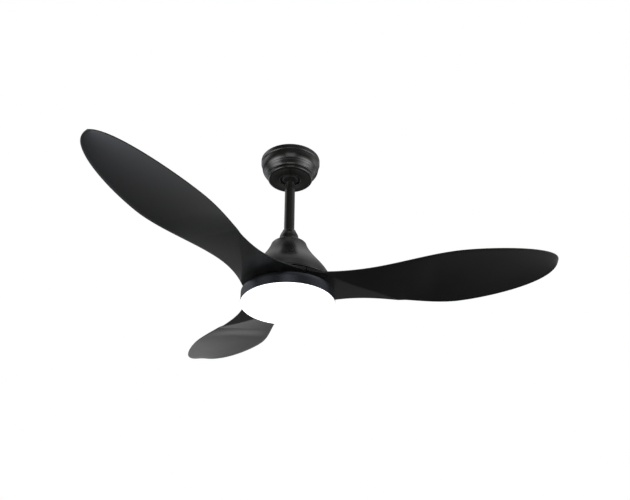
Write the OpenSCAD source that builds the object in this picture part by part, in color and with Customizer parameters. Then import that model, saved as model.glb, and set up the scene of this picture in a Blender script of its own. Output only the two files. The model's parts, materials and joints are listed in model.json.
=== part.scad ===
// Three-blade ceiling fan with a downrod, a bell-shaped motor housing and an LED light.
// Origin: on the fan's axis, in the plane of the ceiling. +Z points up, into the ceiling.

/* [Overall] */
// Diameter of the circle that the blade tips sweep
blade_span = 1320; // [1080:20:1600]
// From the ceiling down to the underside of the light ring
drop = 430; // [350:10:900]

/* [Canopy] */
// Diameter of the canopy where it meets the ceiling
canopy_d = 158; // [150:2:200]
// Height of the canopy with its cap
canopy_h = 62; // [62:1:90]
// Height of the plain band round the top of the canopy
canopy_band_h = 12; // [6:1:16]
// Height of the snap-on cap below the canopy
cap_h = 10; // [9:0.5:14]
// How far the cap stands inside the canopy's widest radius
cap_step = 19; // [17:0.5:22]
// Thickness of the canopy's steel sheet
canopy_wall = 1.2; // [0.8:0.1:1.6]

/* [Hanging bracket] */
// Distance between the centres of the two ceiling screw slots
slot_pitch = 89; // [84:1:92]
// Width of the ceiling screw slots
slot_w = 5; // [4.5:0.5:6]
// Length of the ceiling screw slots, end to end
slot_l = 11; // [8:1:12]
// Thickness of the bracket's steel
bracket_t = 2.5; // [2:0.1:3]
// Distance between the outer faces of the bracket's two legs
leg_span = 95; // [94:1:97]

/* [Downrod and ball] */
// Outer diameter of the downrod
rod_d = 26.7; // [21.3:0.1:33]
// Wall of the downrod
rod_wall = 2.2; // [1.6:0.1:3]
// Diameter of the hanging ball
ball_d = 60; // [58:1:62]
// Gap between the ball and its seat
seat_gap = 0.3; // [0.3:0.05:0.6]
// Diameter of the pin that carries the ball
ball_pin_d = 6; // [5:0.5:8]
// Diameter of the clevis pin that carries the motor
clevis_d = 8; // [6:0.5:9]

/* [Motor] */
// Outer diameter of the rotor
rotor_d = 132; // [110:2:160]
// Thickness of the rotor's walls and covers
rotor_wall = 4; // [3:0.5:5]
// Height of the stator's iron stack
stack_h = 20; // [14:1:28]
// Outer diameter of the hollow shaft
shaft_d = 17; // [15:0.5:20]
// Bore of the hollow shaft, for the wires
shaft_bore = 10.4; // [9:0.2:12]
// Number of stator teeth
tooth_count = 12; // [9, 12]
// Number of rotor magnets
magnet_count = 14; // [10, 14]

/* [Housing] */
// How far the bell's rim stands outside the rotor
bell_margin = 44; // [36:1:60]
// Height of the bell-shaped housing
bell_h = 116; // [110:1:140]
// Radius of the bell's neck below its rounded shoulder
neck_r = 46; // [44:1:54]
// Thickness of the housing's steel sheet
bell_wall = 1.6; // [1:0.1:2]
// Height of the cover over the coupling
cover_h = 40; // [38:1:50]

/* [Blades] */
// Width of a blade at its narrow waist
waist_w = 121; // [100:1:130]
// Distance of the waist from the fan's axis
waist_at = 180; // [170:2:200]
// Width of a blade where it is widest
belly_w = 199; // [150:1:220]
// Length of the rounded part from the widest place to the tip
tip_len = 240; // [180:5:300]
// Slope across the blade, in degrees
blade_pitch = 9.5; // [6:0.5:14]
// Slope of the leading edge along the blade, in degrees
blade_rise = 5; // [3:0.5:7]
// How far the tip leans towards the trailing edge
tip_lean = 8; // [0:1:20]
// Depth of the hollow under the blade at its widest place
blade_camber = 6; // [2:0.5:8]
// Thickness of the blade's thin edge
blade_edge = 2.4; // [2:0.2:3]
// Thickness of the blade along its middle
blade_mid = 6; // [4:0.5:8]
// Thickness of the blade's root pad
pad_t = 8; // [6:0.5:10]

/* [Light] */
// Outer diameter of the light ring
light_d = 232; // [200:2:300]
// Height of the light ring
ring_h = 28; // [26:1:36]
// Wall of the light ring
ring_wall = 1.6; // [1.2:0.1:2]
// Depth of the diffuser's dome
dome_h = 16; // [10:1:30]
// Wall of the diffuser
dome_wall = 2; // [1.6:0.1:3]
// Gap between the light ring and the blade roots
hub_gap = 14; // [11:1:20]

/* [Hidden] */

$fn = 96;
eps = 0.01;
fit = 0.05;              // radial play of a pin or shaft in its bore
free = 0.2;              // play of a part that only has to slip past another
blade_count = 3;
sector = 360 / blade_count;
first_blade = -6.7;      // direction of blade 1 from +X

// Heights, worked out upwards from the underside of the light ring
ring_z = -drop;
pan_top = ring_z + ring_h;
light_plate_t = 2.5;
plate_top = pan_top + light_plate_t;
pad_z = pan_top + hub_gap;
floor_z = pad_z + pad_t;
floor_top = floor_z + rotor_wall;
bearing_h = 12;
spacer_h = 4;
coil_end = 6;            // how far the coils stand out above and below the iron
stack_z = floor_top + coil_end + spacer_h;
stack_top = stack_z + stack_h;
cover_z = stack_top + coil_end + 2;
rotor_top_z = cover_z + rotor_wall;
split_z = (floor_top + cover_z) / 2 + 2;
low_bearing_z = floor_top;
high_bearing_z = rotor_top_z - bearing_h;

// The housing, the yoke inside it and the cover above it
bell_gap = 2;            // from the blade roots up to the bell's rim
bell_z = floor_z + bell_gap;
bell_top = bell_z + bell_h;
bell_top_t = 3;
flange_top = bell_top - bell_top_t;
flange_t = 5;
rod_seat_z = flange_top - 7;
rod_grip = 34;           // length of downrod inside the yoke
yoke_top = rod_seat_z + rod_grip;
yoke_bottom = rotor_top_z + 2.5;
shaft_top = rod_seat_z - 8;
clevis_z = yoke_top - 12;
yoke_screw_z = bell_top + 4;
cover_top = bell_top + cover_h;

// The canopy, the ball and the bracket
ball_z = -canopy_h + 24;
ball_r = ball_d / 2;
ball_up = 18;            // ball centre to its flat top
ball_down = 24;          // ball centre to its flat bottom
rod_top = ball_z + 22;
rod_bottom = rod_seat_z + 2;
seat_high = 8;           // ball centre down to the top of the seat
seat_low = 20;           // ball centre down to the bottom of the seat
seat_z = ball_z - seat_low;
cap_z = -canopy_h;
cap_top = cap_z + cap_h;
canopy_bottom = cap_top;

// Radii
rod_r = rod_d / 2;
canopy_r = canopy_d / 2;
cap_r = canopy_r - cap_step;
groove_w = 2;
canopy_foot_r = cap_r + 2;
canopy_hole_r = canopy_foot_r - 10.5;
rod_hole_r = rod_r + 13.6;
shaft_r = shaft_d / 2;
bore_r = shaft_bore / 2;
rotor_r = rotor_d / 2;
rotor_in = rotor_r - rotor_wall;
bell_r = rotor_r + bell_margin;
rotor_flange_r = rotor_r + 26;
pad_in_r = rotor_r - 8;
blade_screw_r = rotor_r + 16;
joint_flange_r = rotor_r + 6;
joint_screw_r = rotor_r + 3;
yoke_r = rod_r + 4;
yoke_flange_r = neck_r - bell_wall - 3;
bell_screw_r = yoke_r + 4.6;
cover_r = bell_screw_r + 5.6;
light_r = light_d / 2;
pan_in = light_r - ring_wall;

// Bearings
race_r = [shaft_r, shaft_r + 3.7, shaft_r + 7.8, shaft_r + 11.5];
ball_path_r = (race_r[1] + race_r[2]) / 2;
bearing_ball_r = 3.1;
bearing_ball_count = 8;

// Stator and magnets
magnet_t = 4.9;
air_gap = 1;
magnet_in = rotor_in - fit - magnet_t;
stack_r = magnet_in - air_gap;
hub_r = race_r[3] + 8;
core_ring = 6;
tooth_w = 8;
tooth_tip = 4;

// Blade outline: a narrow waist, a wide belly and a rounded tip
tip_r = blade_span / 2;
belly_at = tip_r - tip_len;
waist_h = waist_w / 2;
belly_h = belly_w / 2;
// Arc that runs from one blade's waist to its neighbour's
bay_r = waist_at * tan(60) - waist_h;
root_r = 2 * waist_at - bay_r;
seam = 0.4;              // half of the gap between two blade roots
pitch_slope = tan(blade_pitch);
rise_slope = tan(blade_rise);
root_cols = 14;

// Small fasteners
screw_head_h = 3;
canopy_screw_x = cap_r - 5;

function smooth(t) = t <= 0 ? 0 : t >= 1 ? 1 : t * t * (3 - 2 * t);
function mix(a, b, t) = a + (b - a) * t;
function bezier(p, t) =
    pow(1 - t, 3) * p[0] + 3 * pow(1 - t, 2) * t * p[1]
    + 3 * (1 - t) * t * t * p[2] + pow(t, 3) * p[3];
// The larger of two heights, with the corner between them eased over about ease
function soft_max(a, b, ease) = (a + b + sqrt(pow(a - b, 2) + ease * ease)) / 2;
// Unit normal, to the left of the way from point i - 1 to point i + 1
function path_normal(path, i) =
    let(a = path[max(i - 1, 0)])
    let(b = path[min(i + 1, len(path) - 1)])
    let(d = (b - a) / norm(b - a))
    [-d[1], d[0]];
// A path and its copy moved sideways, as one closed outline of a sheet
function sheet_outline(path, wall) = concat(
    path,
    [for (i = [len(path) - 1:-1:0]) path[i] + wall * path_normal(path, i)]
);

module rod(r, z0, z1) {
    translate([0, 0, z0])
    cylinder(r = r, h = z1 - z0);
}

module tube(r_out, r_in, z0, z1) {
    difference() {
        rod(r_out, z0, z1);
        rod(r_in, z0 - 1, z1 + 1);
    }
}

module around(count, start = 0) {
    for (i = [0:count - 1])
        rotate([0, 0, start + i * 360 / count])
        children();
}

// A cylinder along X, centred on the axis
module cross_rod(r, length, z) {
    translate([-length / 2, 0, z])
    rotate([0, 90, 0])
    cylinder(r = r, h = length);
}

// A sector of a tube, from angle -half to +half
module arc_block(r_out, r_in, half, z0, z1) {
    translate([0, 0, z0])
    rotate([0, 0, -half])
    rotate_extrude(angle = 2 * half)
    translate([r_in, 0])
    square([r_out - r_in, z1 - z0]);
}

// A pan-head screw that points up, with its head below z
module screw_up(r, head_r, z, length) {
    rod(r, z - eps, z + length);
    difference() {
        rod(head_r, z - screw_head_h, z);
        translate([-head_r, -0.5, z - screw_head_h - 1])
        cube([2 * head_r, 1, 2]);
        translate([-0.5, -head_r, z - screw_head_h - 1])
        cube([1, 2 * head_r, 2]);
    }
}

// ---- Ceiling mount -------------------------------------------------------

receiver = [60, 28, 22];
receiver_y = ball_r + 3;
clip_t = 2;
plate_l = leg_span + 12;
plate_w = 42;
leg_w = 30;

module slot_hole(l, w) {
    for (s = [-1, 1])
        translate([s * (l - w) / 2, 0, -bracket_t - 1])
        cylinder(d = w, h = bracket_t + 2);
    translate([-(l - w) / 2, -w / 2, -bracket_t - 1])
    cube([l - w, w, bracket_t + 2]);
}

module bracket_plate() {
    tray_w = receiver[0] + 2 * clip_t + 2 * free;
    tray_end = receiver_y + receiver[1];
    difference() {
        union() {
            translate([-plate_l / 2, -plate_w / 2, -bracket_t])
            cube([plate_l, plate_w, bracket_t]);
            translate([-tray_w / 2, 0, -bracket_t])
            cube([tray_w, tray_end, bracket_t]);
        }
        for (s = [-1, 1])
            translate([s * slot_pitch / 2, 0, 0])
            slot_hole(slot_l, slot_w);
        rod(12, -bracket_t - 1, 1);
    }
}

module bracket_legs() {
    foot_z = canopy_bottom + canopy_wall;
    // Window in each leg's bend, for the ceiling screw and its head
    window_w = slot_w + 7;
    window_h = bracket_t + 14;
    for (s = [0, 180])
        rotate([0, 0, s]) {
            difference() {
                translate([leg_span / 2 - bracket_t, -leg_w / 2, seat_z])
                cube([bracket_t, leg_w, -seat_z - eps]);
                translate([leg_span / 2 - bracket_t - 1, -window_w / 2, -window_h])
                cube([bracket_t + 2, window_w, window_h + 1]);
            }
            difference() {
                translate([leg_span / 2 - bracket_t, -8, foot_z])
                cube([canopy_screw_x + 3.4 - leg_span / 2 + bracket_t, 16, bracket_t]);
                translate([canopy_screw_x, 0, foot_z - 1])
                cylinder(r = 2, h = bracket_t + 2);
            }
        }
}

module receiver_clips() {
    for (s = [-1, 1])
        translate([s * (receiver[0] / 2 + free + clip_t / 2), receiver_y + receiver[1] / 2, 0]) {
            translate([-clip_t / 2, -6, -bracket_t - receiver[2] - 2 - free])
            cube([clip_t, 12, receiver[2] + bracket_t + 2]);
            translate([-s * 1.5 - clip_t / 2, -6, -bracket_t - receiver[2] - 2 - free])
            cube([clip_t + 1, 12, 2]);
        }
}

module cradle() {
    cradle_r = leg_span / 2 - bracket_t - 1;
    bridge = leg_span - 2 * bracket_t + 2;
    throat = rod_d + 6;
    difference() {
        union() {
            rod(cradle_r, seat_z, ball_z - seat_high);
            translate([-bridge / 2, -leg_w / 2, seat_z])
            cube([bridge, leg_w, seat_low - seat_high]);
        }
        translate([0, 0, ball_z])
        sphere(r = ball_r + seat_gap);
        translate([-throat / 2, -cradle_r - 1, seat_z - 1])
        cube([throat, cradle_r + 1, seat_low - seat_high + 2]);
    }
    // Tab that keeps the ball from turning
    translate([-2, ball_r - 3, ball_z - seat_high - 6])
    cube([4, 8, 4]);
}

module hanging_bracket() {
    color("silver") {
        bracket_plate();
        bracket_legs();
        receiver_clips();
        cradle();
    }
}

// The canopy's outer line, from its foot up to the ceiling
canopy_path = concat(
    [[canopy_hole_r, canopy_bottom]],
    [for (a = [-90:15:-15])
        [canopy_foot_r - 3 + 3 * cos(a), canopy_bottom + 3 + 3 * sin(a)]],
    [for (t = [0:0.125:1]) bezier([
        [canopy_foot_r + 0.5, canopy_bottom + 4],
        [canopy_foot_r + 9, canopy_bottom + 15],
        [canopy_r - 3, canopy_bottom + 16],
        [canopy_r - 2.5, -canopy_band_h - 2]
    ], t)],
    [[canopy_r, -canopy_band_h], [canopy_r, 0]]
);

module canopy() {
    color([0.11, 0.11, 0.11])
    difference() {
        rotate_extrude()
        polygon(sheet_outline(canopy_path, canopy_wall));
        for (s = [-1, 1])
            translate([s * canopy_screw_x, 0, canopy_bottom - 1])
            cylinder(r = 2.2, h = canopy_wall + 2);
    }
}

cap_round = cap_h - 4;
cap_path = concat(
    [[rod_hole_r, cap_z]],
    [for (a = [-90:15:0])
        [cap_r - cap_round + cap_round * cos(a), cap_z + cap_round + cap_round * sin(a)]],
    [[cap_r, cap_top - groove_w + 0.5]]
);

module canopy_cap() {
    spigot_r = canopy_hole_r - free;
    color([0.08, 0.08, 0.08]) {
        rotate_extrude()
        polygon(sheet_outline(cap_path, canopy_wall));
        // Spigot that snaps into the canopy's foot
        tube(spigot_r, spigot_r - canopy_wall, cap_z + canopy_wall / 2,
            canopy_bottom + canopy_wall - free);
    }
}

module canopy_screws() {
    color("dimgray")
    for (s = [-1, 1])
        translate([s * canopy_screw_x, 0, 0])
        screw_up(1.9, 3.4, canopy_bottom, 7);
}

module receiver_box() {
    color("whitesmoke")
    translate([-receiver[0] / 2, receiver_y, -bracket_t - free - receiver[2]])
    cube(receiver);
}

// ---- Hanger: everything that hangs from the ball and doesn't spin ---------

module hanger_ball() {
    notch = ball_pin_d + 2 * fit;
    color("dimgray")
    difference() {
        intersection() {
            translate([0, 0, ball_z])
            sphere(r = ball_r);
            rod(ball_r + 1, ball_z - ball_down, ball_z + ball_up);
        }
        rod(rod_r + fit, ball_z - ball_down - 1, ball_z + ball_up + 1);
        // Notch for the pin, open at the top
        cross_rod(notch / 2, ball_d, ball_z + 8);
        translate([-ball_r, -notch / 2, ball_z + 8])
        cube([ball_d, notch, ball_up]);
        // Groove that the bracket's tab runs in
        translate([-3, ball_r - 9, ball_z - ball_down - 1])
        cube([6, 10, ball_down + 10]);
        translate([0, -ball_r, ball_z - 6])
        rotate([-90, 0, 0])
        cylinder(r = 2.5, h = ball_r);
    }
}

module ball_pin() {
    color("silver")
    cross_rod(ball_pin_d / 2, 2 * ball_r - 10, ball_z + 8);
}

module ball_set_screw() {
    color("dimgray")
    translate([0, -rod_r - 10, ball_z - 6])
    rotate([-90, 0, 0])
    difference() {
        cylinder(r = 2.5, h = 10);
        translate([0, 0, -1])
        cylinder(r = 1.4, h = 4, $fn = 6);
    }
}

module downrod() {
    color([0.14, 0.14, 0.14])
    difference() {
        tube(rod_r, rod_r - rod_wall, rod_bottom, rod_top);
        cross_rod(ball_pin_d / 2 + fit, rod_d + 2, ball_z + 8);
        cross_rod(clevis_d / 2 + fit, rod_d + 2, clevis_z);
    }
}

// Direction of a route at its point i
function route_way(route, i) =
    let(d = route[min(i + 1, len(route) - 1)] - route[max(i - 1, 0)])
    d / norm(d);

// A round tube along a route that never runs along X
module route_tube(route, r, sides = 8) {
    count = len(route);
    points = [for (i = [0:count - 1])
        let(way = route_way(route, i))
        let(across = cross(way, [1, 0, 0]))
        let(e1 = across / norm(across))
        let(e2 = cross(way, e1))
        for (k = [0:sides - 1])
            route[i] + r * (cos(k * 360 / sides) * e1 + sin(k * 360 / sides) * e2)];
    walls = [for (i = [0:count - 2]) for (k = [0:sides - 1])
        let(n = (k + 1) % sides)
        [i * sides + k, i * sides + n, (i + 1) * sides + n, (i + 1) * sides + k]];
    start = [for (k = [sides - 1:-1:0]) k];
    end = [for (k = [0:sides - 1]) (count - 1) * sides + k];
    polyhedron(points, concat(walls, [start, end]));
}

// The wires run down one side of the rod, clear of its pins, then down the
// middle of the shaft and across to the LED driver
module rod_wires() {
    wire_r = 1.1;
    wire_colors = ["black", "white", "green", "blue"];
    in_rod = rod_r - rod_wall - wire_r - 0.8;
    in_shaft = bore_r - wire_r - 0.7;
    turn_r = 4;
    for (i = [0:3]) {
        // The two inner wires run above the two outer ones
        turn_z = pan_top - (i % 3 == 0 ? 16 : 14) + turn_r;
        top = in_rod * [cos(60 + 20 * i), sin(60 + 20 * i)];
        low = in_shaft * [cos(60 * i), sin(60 * i)];
        color(wire_colors[i])
        route_tube(concat(
            [[top[0], top[1], rod_top - 4], [top[0], top[1], rod_seat_z + 12],
                [top[0], top[1], rod_seat_z + 10], [low[0], low[1], rod_seat_z - 0.5],
                [low[0], low[1], rod_seat_z - 2]],
            [for (a = [0:22.5:90])
                [low[0], low[1] + turn_r * (1 - cos(a)), turn_z - turn_r * sin(a)]],
            [[low[0], driver_y, turn_z - turn_r]]
        ), wire_r);
    }
}

module motor_yoke() {
    color("dimgray")
    difference() {
        union() {
            rod(yoke_r, yoke_bottom, yoke_top);
            rod(race_r[1] - 0.6, rotor_top_z, yoke_bottom + 1);
            rod(yoke_flange_r, flange_top - flange_t, flange_top);
        }
        rod(shaft_r + fit, rotor_top_z - 1, shaft_top + 1);
        rod(bore_r, shaft_top, rod_seat_z + 1);
        rod(rod_r + fit, rod_seat_z, yoke_top + 1);
        cross_rod(clevis_d / 2 + fit, 2 * yoke_r + 2, clevis_z);
        for (s = [0, 180])
            rotate([0, 0, s])
            translate([0, rod_r - 1, yoke_screw_z])
            rotate([-90, 0, 0])
            cylinder(r = 2.5, h = yoke_r);
        around(3, 30)
        translate([bell_screw_r, 0, 0])
        rod(1.75, flange_top - flange_t - 1, flange_top + 1);
        around(3, 90)
        translate([yoke_flange_r - 9, 0, 0])
        rod(4, flange_top - flange_t - 1, flange_top + 1);
    }
}

module yoke_clevis_pin() {
    reach = yoke_r + 3.5;
    color("silver")
    difference() {
        union() {
            cross_rod(clevis_d / 2, 2 * reach, clevis_z);
            translate([-reach, 0, clevis_z])
            rotate([0, 90, 0])
            cylinder(r = clevis_d / 2 + 1.2, h = 2.5);
        }
        translate([yoke_r + 1.6, 0, clevis_z - clevis_d])
        cylinder(r = 0.9, h = 2 * clevis_d);
    }
}

module yoke_clip() {
    color("silver")
    translate([yoke_r + 1.6, 0, clevis_z - clevis_d / 2 - 2])
    cylinder(r = 0.85, h = clevis_d + 5);
}

module yoke_set_screws() {
    color("dimgray")
    for (s = [0, 180])
        rotate([0, 0, s])
        translate([0, rod_r, yoke_screw_z])
        rotate([-90, 0, 0])
        difference() {
            cylinder(r = 2.5, h = 5.2);
            translate([0, 0, 2.2])
            cylinder(r = 1.4, h = 4, $fn = 6);
        }
}

// The coupling cover's outer line, from the bell up to the rod
cover_waist = cover_r - 3.4;
cover_path = concat(
    [[cover_r, bell_top + 0.1]],
    [for (t = [0:0.125:1]) bezier([
        [cover_r, bell_top + 1.5],
        [cover_waist, bell_top + 7],
        [cover_waist, bell_top + 12],
        [cover_waist, bell_top + cover_h / 2]
    ], t)],
    [for (t = [0.125:0.125:1]) bezier([
        [cover_waist, bell_top + cover_h / 2],
        [cover_waist - 0.5, cover_top - 12],
        [rod_r + 6, cover_top - 8],
        [rod_r + 3.6, cover_top]
    ], t)]
);

module coupling_cover() {
    color([0.1, 0.1, 0.1]) {
        rotate_extrude()
        polygon(sheet_outline(cover_path, 1.2));
        tube(rod_r + 3, rod_r + free, cover_top - 1.5, cover_top);
    }
}

bell_path = concat(
    [[bell_r, bell_z]],
    [for (t = [0:0.05:1]) bezier([
        [bell_r, bell_z + 2],
        [bell_r - 11, bell_z + 0.41 * (bell_h - 6)],
        [neck_r + 18, bell_z + 0.58 * (bell_h - 6)],
        [neck_r, bell_top - 6]
    ], t)],
    [for (a = [15:15:90]) [neck_r - 6 + 6 * cos(a), bell_top - 6 + 6 * sin(a)]]
);

module motor_housing() {
    color([0.12, 0.12, 0.12]) {
        rotate_extrude()
        polygon(sheet_outline(bell_path, bell_wall));
        difference() {
            rod(neck_r - 5, flange_top, bell_top);
            rod(yoke_r + 1, flange_top - 1, bell_top + 1);
            around(3, 30)
            translate([bell_screw_r, 0, 0])
            rod(2, flange_top - 1, bell_top + 1);
        }
    }
}

module housing_screws() {
    color("silver")
    around(3, 30)
    translate([bell_screw_r, 0, bell_top])
    rotate([180, 0, 0])
    screw_up(1.75, 2.9, 0, 7);
}

module motor_shaft() {
    thread_r = shaft_r - 1.5;
    color("lightsteelblue")
    difference() {
        union() {
            rod(shaft_r, plate_top, shaft_top);
            rod(thread_r, pan_top - 12, plate_top + 1);
        }
        rod(bore_r, pan_top - 13, shaft_top + 1);
        // Side hole that lets the motor's leads in
        translate([0, 0, stack_top + coil_end + 1])
        cross_rod(2, shaft_r, 0);
        tube(shaft_r + 1, shaft_r - 0.8, low_bearing_z - 1.4, low_bearing_z);
    }
}

module shaft_snap_ring() {
    color("dimgray")
    difference() {
        tube(shaft_r + 2.4, shaft_r - 0.7, low_bearing_z - 1.3, low_bearing_z - 0.1);
        translate([0, -1.5, low_bearing_z - 3])
        cube([shaft_r + 4, 3, 4]);
    }
}

module stator_hub() {
    color("ivory")
    difference() {
        union() {
            rod(race_r[1] - 0.4, low_bearing_z + bearing_h, high_bearing_z);
            rod(hub_r, stack_z + 5, stack_top - 5);
        }
        rod(shaft_r + fit, low_bearing_z, rotor_top_z);
        around(4, 45)
        translate([(race_r[1] + hub_r) / 2, 0, 0])
        rod(4, stack_z, stack_top);
    }
}

module stator_core() {
    step = 360 / tooth_count;
    color("slategray") {
        tube(hub_r + core_ring, hub_r + fit, stack_z, stack_top);
        around(tooth_count) {
            translate([hub_r + core_ring - 1, -tooth_w / 2, stack_z])
            cube([stack_r - tooth_tip - hub_r - core_ring + 2, tooth_w, stack_h]);
            arc_block(stack_r, stack_r - tooth_tip, step * 0.4, stack_z, stack_top);
        }
    }
}

module stator_windings() {
    coil_in = hub_r + core_ring + 1;
    coil_out = stack_r - tooth_tip - 1;
    coil_side = coil_in * tan(180 / tooth_count) - 0.8;
    color("peru")
    around(tooth_count)
    difference() {
        translate([coil_in, -coil_side, stack_z - coil_end])
        cube([coil_out - coil_in, 2 * coil_side, stack_h + 2 * coil_end]);
        translate([coil_in - 1, -tooth_w / 2 - free, stack_z - free])
        cube([coil_out - coil_in + 2, tooth_w + 2 * free, stack_h + 2 * free]);
    }
}

// ---- Bearings --------------------------------------------------------------

module ball_track(z, play) {
    translate([0, 0, z + bearing_h / 2])
    rotate_extrude()
    translate([ball_path_r, 0])
    circle(r = bearing_ball_r + play, $fn = 48);
}

module inner_race(z) {
    color("gainsboro")
    difference() {
        tube(race_r[1], race_r[0] + fit / 2, z, z + bearing_h);
        ball_track(z, 0.1);
    }
}

module outer_race(z) {
    color("gainsboro")
    difference() {
        tube(race_r[3], race_r[2], z, z + bearing_h);
        ball_track(z, 0.1);
    }
}

module bearing_balls(z) {
    color("white")
    around(bearing_ball_count)
    translate([ball_path_r, 0, z + bearing_h / 2])
    sphere(r = bearing_ball_r);
}

module lower_bearing_inner() { inner_race(low_bearing_z); }
module upper_bearing_inner() { inner_race(high_bearing_z); }
module lower_bearing_outer() { outer_race(low_bearing_z); }
module upper_bearing_outer() { outer_race(high_bearing_z); }
module lower_bearing_balls() { bearing_balls(low_bearing_z); }
module upper_bearing_balls() { bearing_balls(high_bearing_z); }

// ---- Light -----------------------------------------------------------------

light_bracket_r = 50;
pan_screw_r = 40;
nut_h = 6;
board_z = ring_z + 7;
board_t = 1.6;
board_r = pan_in - 14;
post_r = board_r - 10;
driver = [90, 40, 15];
driver_y = 26;
tab_z = ring_z + 2.5;
tab_t = 2;
skirt_r = pan_in - 2.6;
lug_count = 3;
lug_half = 6;

module light_bracket() {
    color("silver")
    difference() {
        rod(light_bracket_r, pan_top, plate_top);
        rod(shaft_r - 1.5 + fit, pan_top - 1, plate_top + 1);
        around(3, 30)
        translate([pan_screw_r, 0, 0])
        rod(2, pan_top - 1, plate_top + 1);
    }
}

module shaft_locknut() {
    color("gold")
    difference() {
        translate([0, 0, pan_top - nut_h])
        cylinder(r = shaft_r + 4, h = nut_h, $fn = 6);
        rod(shaft_r - 1.5 + fit, pan_top - nut_h - 1, pan_top + 1);
    }
}

module light_pan() {
    color([0.18, 0.19, 0.21])
    difference() {
        union() {
            tube(light_r, pan_in, ring_z, pan_top);
            tube(light_r - 0.5, shaft_r + 5.5, pan_top - ring_wall, pan_top);
            // Tabs that the diffuser's lugs rest on
            around(lug_count)
            arc_block(pan_in + 0.5, pan_in - 2, lug_half, tab_z, tab_z + tab_t);
            // Posts for the LED board
            around(4, 45)
            translate([post_r, 0, 0])
            tube(4, 1.5, board_z + board_t, pan_top - ring_wall + eps);
        }
        around(3, 30)
        translate([pan_screw_r, 0, 0])
        rod(2.2, pan_top - ring_wall - 1, pan_top + 1);
    }
}

module light_pan_screws() {
    color("dimgray")
    around(3, 30)
    translate([pan_screw_r, 0, 0])
    screw_up(2, 3.8, pan_top - ring_wall, 6);
}

module led_driver() {
    ear = 8;
    z = pan_top - ring_wall - driver[2];
    color("white")
    difference() {
        union() {
            translate([-driver[0] / 2, driver_y, z])
            cube(driver);
            translate([-driver[0] / 2 - ear, driver_y + driver[1] / 2 - 6, z + driver[2] - 2])
            cube([driver[0] + 2 * ear, 12, 2]);
        }
        for (s = [-1, 1])
            translate([s * (driver[0] / 2 + ear / 2), driver_y + driver[1] / 2, 0])
            rod(1.6, z, pan_top);
    }
}

module driver_screws() {
    color("silver")
    for (s = [-1, 1])
        translate([s * (driver[0] / 2 + 4), driver_y + driver[1] / 2, 0])
        screw_up(1.5, 3, pan_top - ring_wall - 2, 2);
}

module led_board() {
    color("honeydew")
    difference() {
        rod(board_r, board_z, board_z + board_t);
        rod(shaft_r + 6, board_z - 1, board_z + board_t + 1);
        around(4, 45)
        translate([post_r, 0, 0])
        rod(1.7, board_z - 1, board_z + board_t + 1);
    }
}

module led_chips() {
    chip = [4, 4, 0.9];
    color("khaki")
    for (ring = [0:2])
        around(8 * (ring + 1), 10)
        translate([board_r * (0.36 + 0.22 * ring), -chip[1] / 2, board_z - chip[2]])
        cube(chip);
}

module board_screws() {
    color("silver")
    around(4, 45)
    translate([post_r, 0, 0])
    screw_up(1.45, 3, board_z, 8);
}

dome_rim = 0.3;          // gap between the ring's edge and the dome
dome_r = light_r - 0.6;
dome_sphere = (dome_r * dome_r + dome_h * dome_h) / (2 * dome_h);
dome_arc = asin(dome_r / dome_sphere);
dome_path = [for (i = [0:12])
    let(a = dome_arc * (1 - i / 12))
    [dome_sphere * sin(a),
        ring_z - dome_rim - 2 - dome_h + dome_sphere * (1 - cos(a))]];

module diffuser() {
    color("white") {
        rotate_extrude()
        polygon(concat(
            [[dome_r, ring_z - dome_rim]],
            dome_path,
            [for (i = [12:-1:0])
                [max(dome_path[i][0] - (i < 12 ? dome_wall + 2.2 : 0), 0),
                    dome_path[i][1] + dome_wall]],
            [[skirt_r - dome_wall, ring_z - dome_rim - eps],
                [skirt_r - dome_wall, tab_z + tab_t + 2.6],
                [skirt_r, tab_z + tab_t + 2.6],
                [skirt_r, ring_z - dome_rim]]
        ));
        around(lug_count)
        arc_block(pan_in - 0.5, skirt_r - 0.5, lug_half - 1,
            tab_z + tab_t + free, tab_z + tab_t + 2.2);
    }
}

// ---- Rotor -----------------------------------------------------------------

module rotor_bottom() {
    boss_r = race_r[3] + 5;
    color("gray")
    difference() {
        union() {
            rod(rotor_flange_r, floor_z, floor_top);
            rod(boss_r, floor_z, low_bearing_z + bearing_h);
            tube(rotor_r, rotor_in, floor_z, split_z);
            tube(joint_flange_r, rotor_r - 1, split_z - 4, split_z);
        }
        rod(race_r[1] + 0.8, floor_z - 1, floor_top + 1);
        rod(race_r[3], low_bearing_z, low_bearing_z + bearing_h + 1);
        around(6, 30)
        translate([joint_screw_r, 0, 0])
        rod(1.5, split_z - 5, split_z + 1);
        blade_screw_places()
        rod(2.5, floor_z - 1, floor_top + 1);
    }
}

module rotor_top() {
    boss_r = race_r[3] + 5;
    color("gray")
    difference() {
        union() {
            rod(rotor_r, cover_z, rotor_top_z);
            rod(boss_r, high_bearing_z, rotor_top_z);
            tube(rotor_r, rotor_in, split_z, rotor_top_z);
            tube(joint_flange_r, rotor_r - 1, split_z, split_z + 4);
        }
        rod(race_r[3], high_bearing_z - 1, rotor_top_z + 1);
        around(6, 30)
        translate([joint_screw_r, 0, 0])
        rod(1.7, split_z - 1, split_z + 5);
    }
}

module rotor_magnets() {
    color("darkslategray")
    around(magnet_count)
    arc_block(rotor_in - fit, magnet_in, 165 / magnet_count,
        stack_z - 1, stack_top + 1);
}

module rotor_screws() {
    color("silver")
    around(6, 30)
    translate([joint_screw_r, 0, split_z + 4])
    rotate([180, 0, 0])
    screw_up(1.5, 2.7, 0, 8);
}

// ---- Blades ----------------------------------------------------------------

// Half the blade's width at the distance u from the axis, beyond the waist
function half_width(u) =
    u < belly_at
    ? mix(waist_h, belly_h, smooth((u - waist_at) / (belly_at - waist_at)))
    : belly_h * pow(max(1 - pow(min((u - belly_at) / tip_len, 1), 1.6), 0), 0.435);

function lean(u) = tip_lean * pow(max(u - waist_at, 0) / (tip_r - waist_at), 2);

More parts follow.
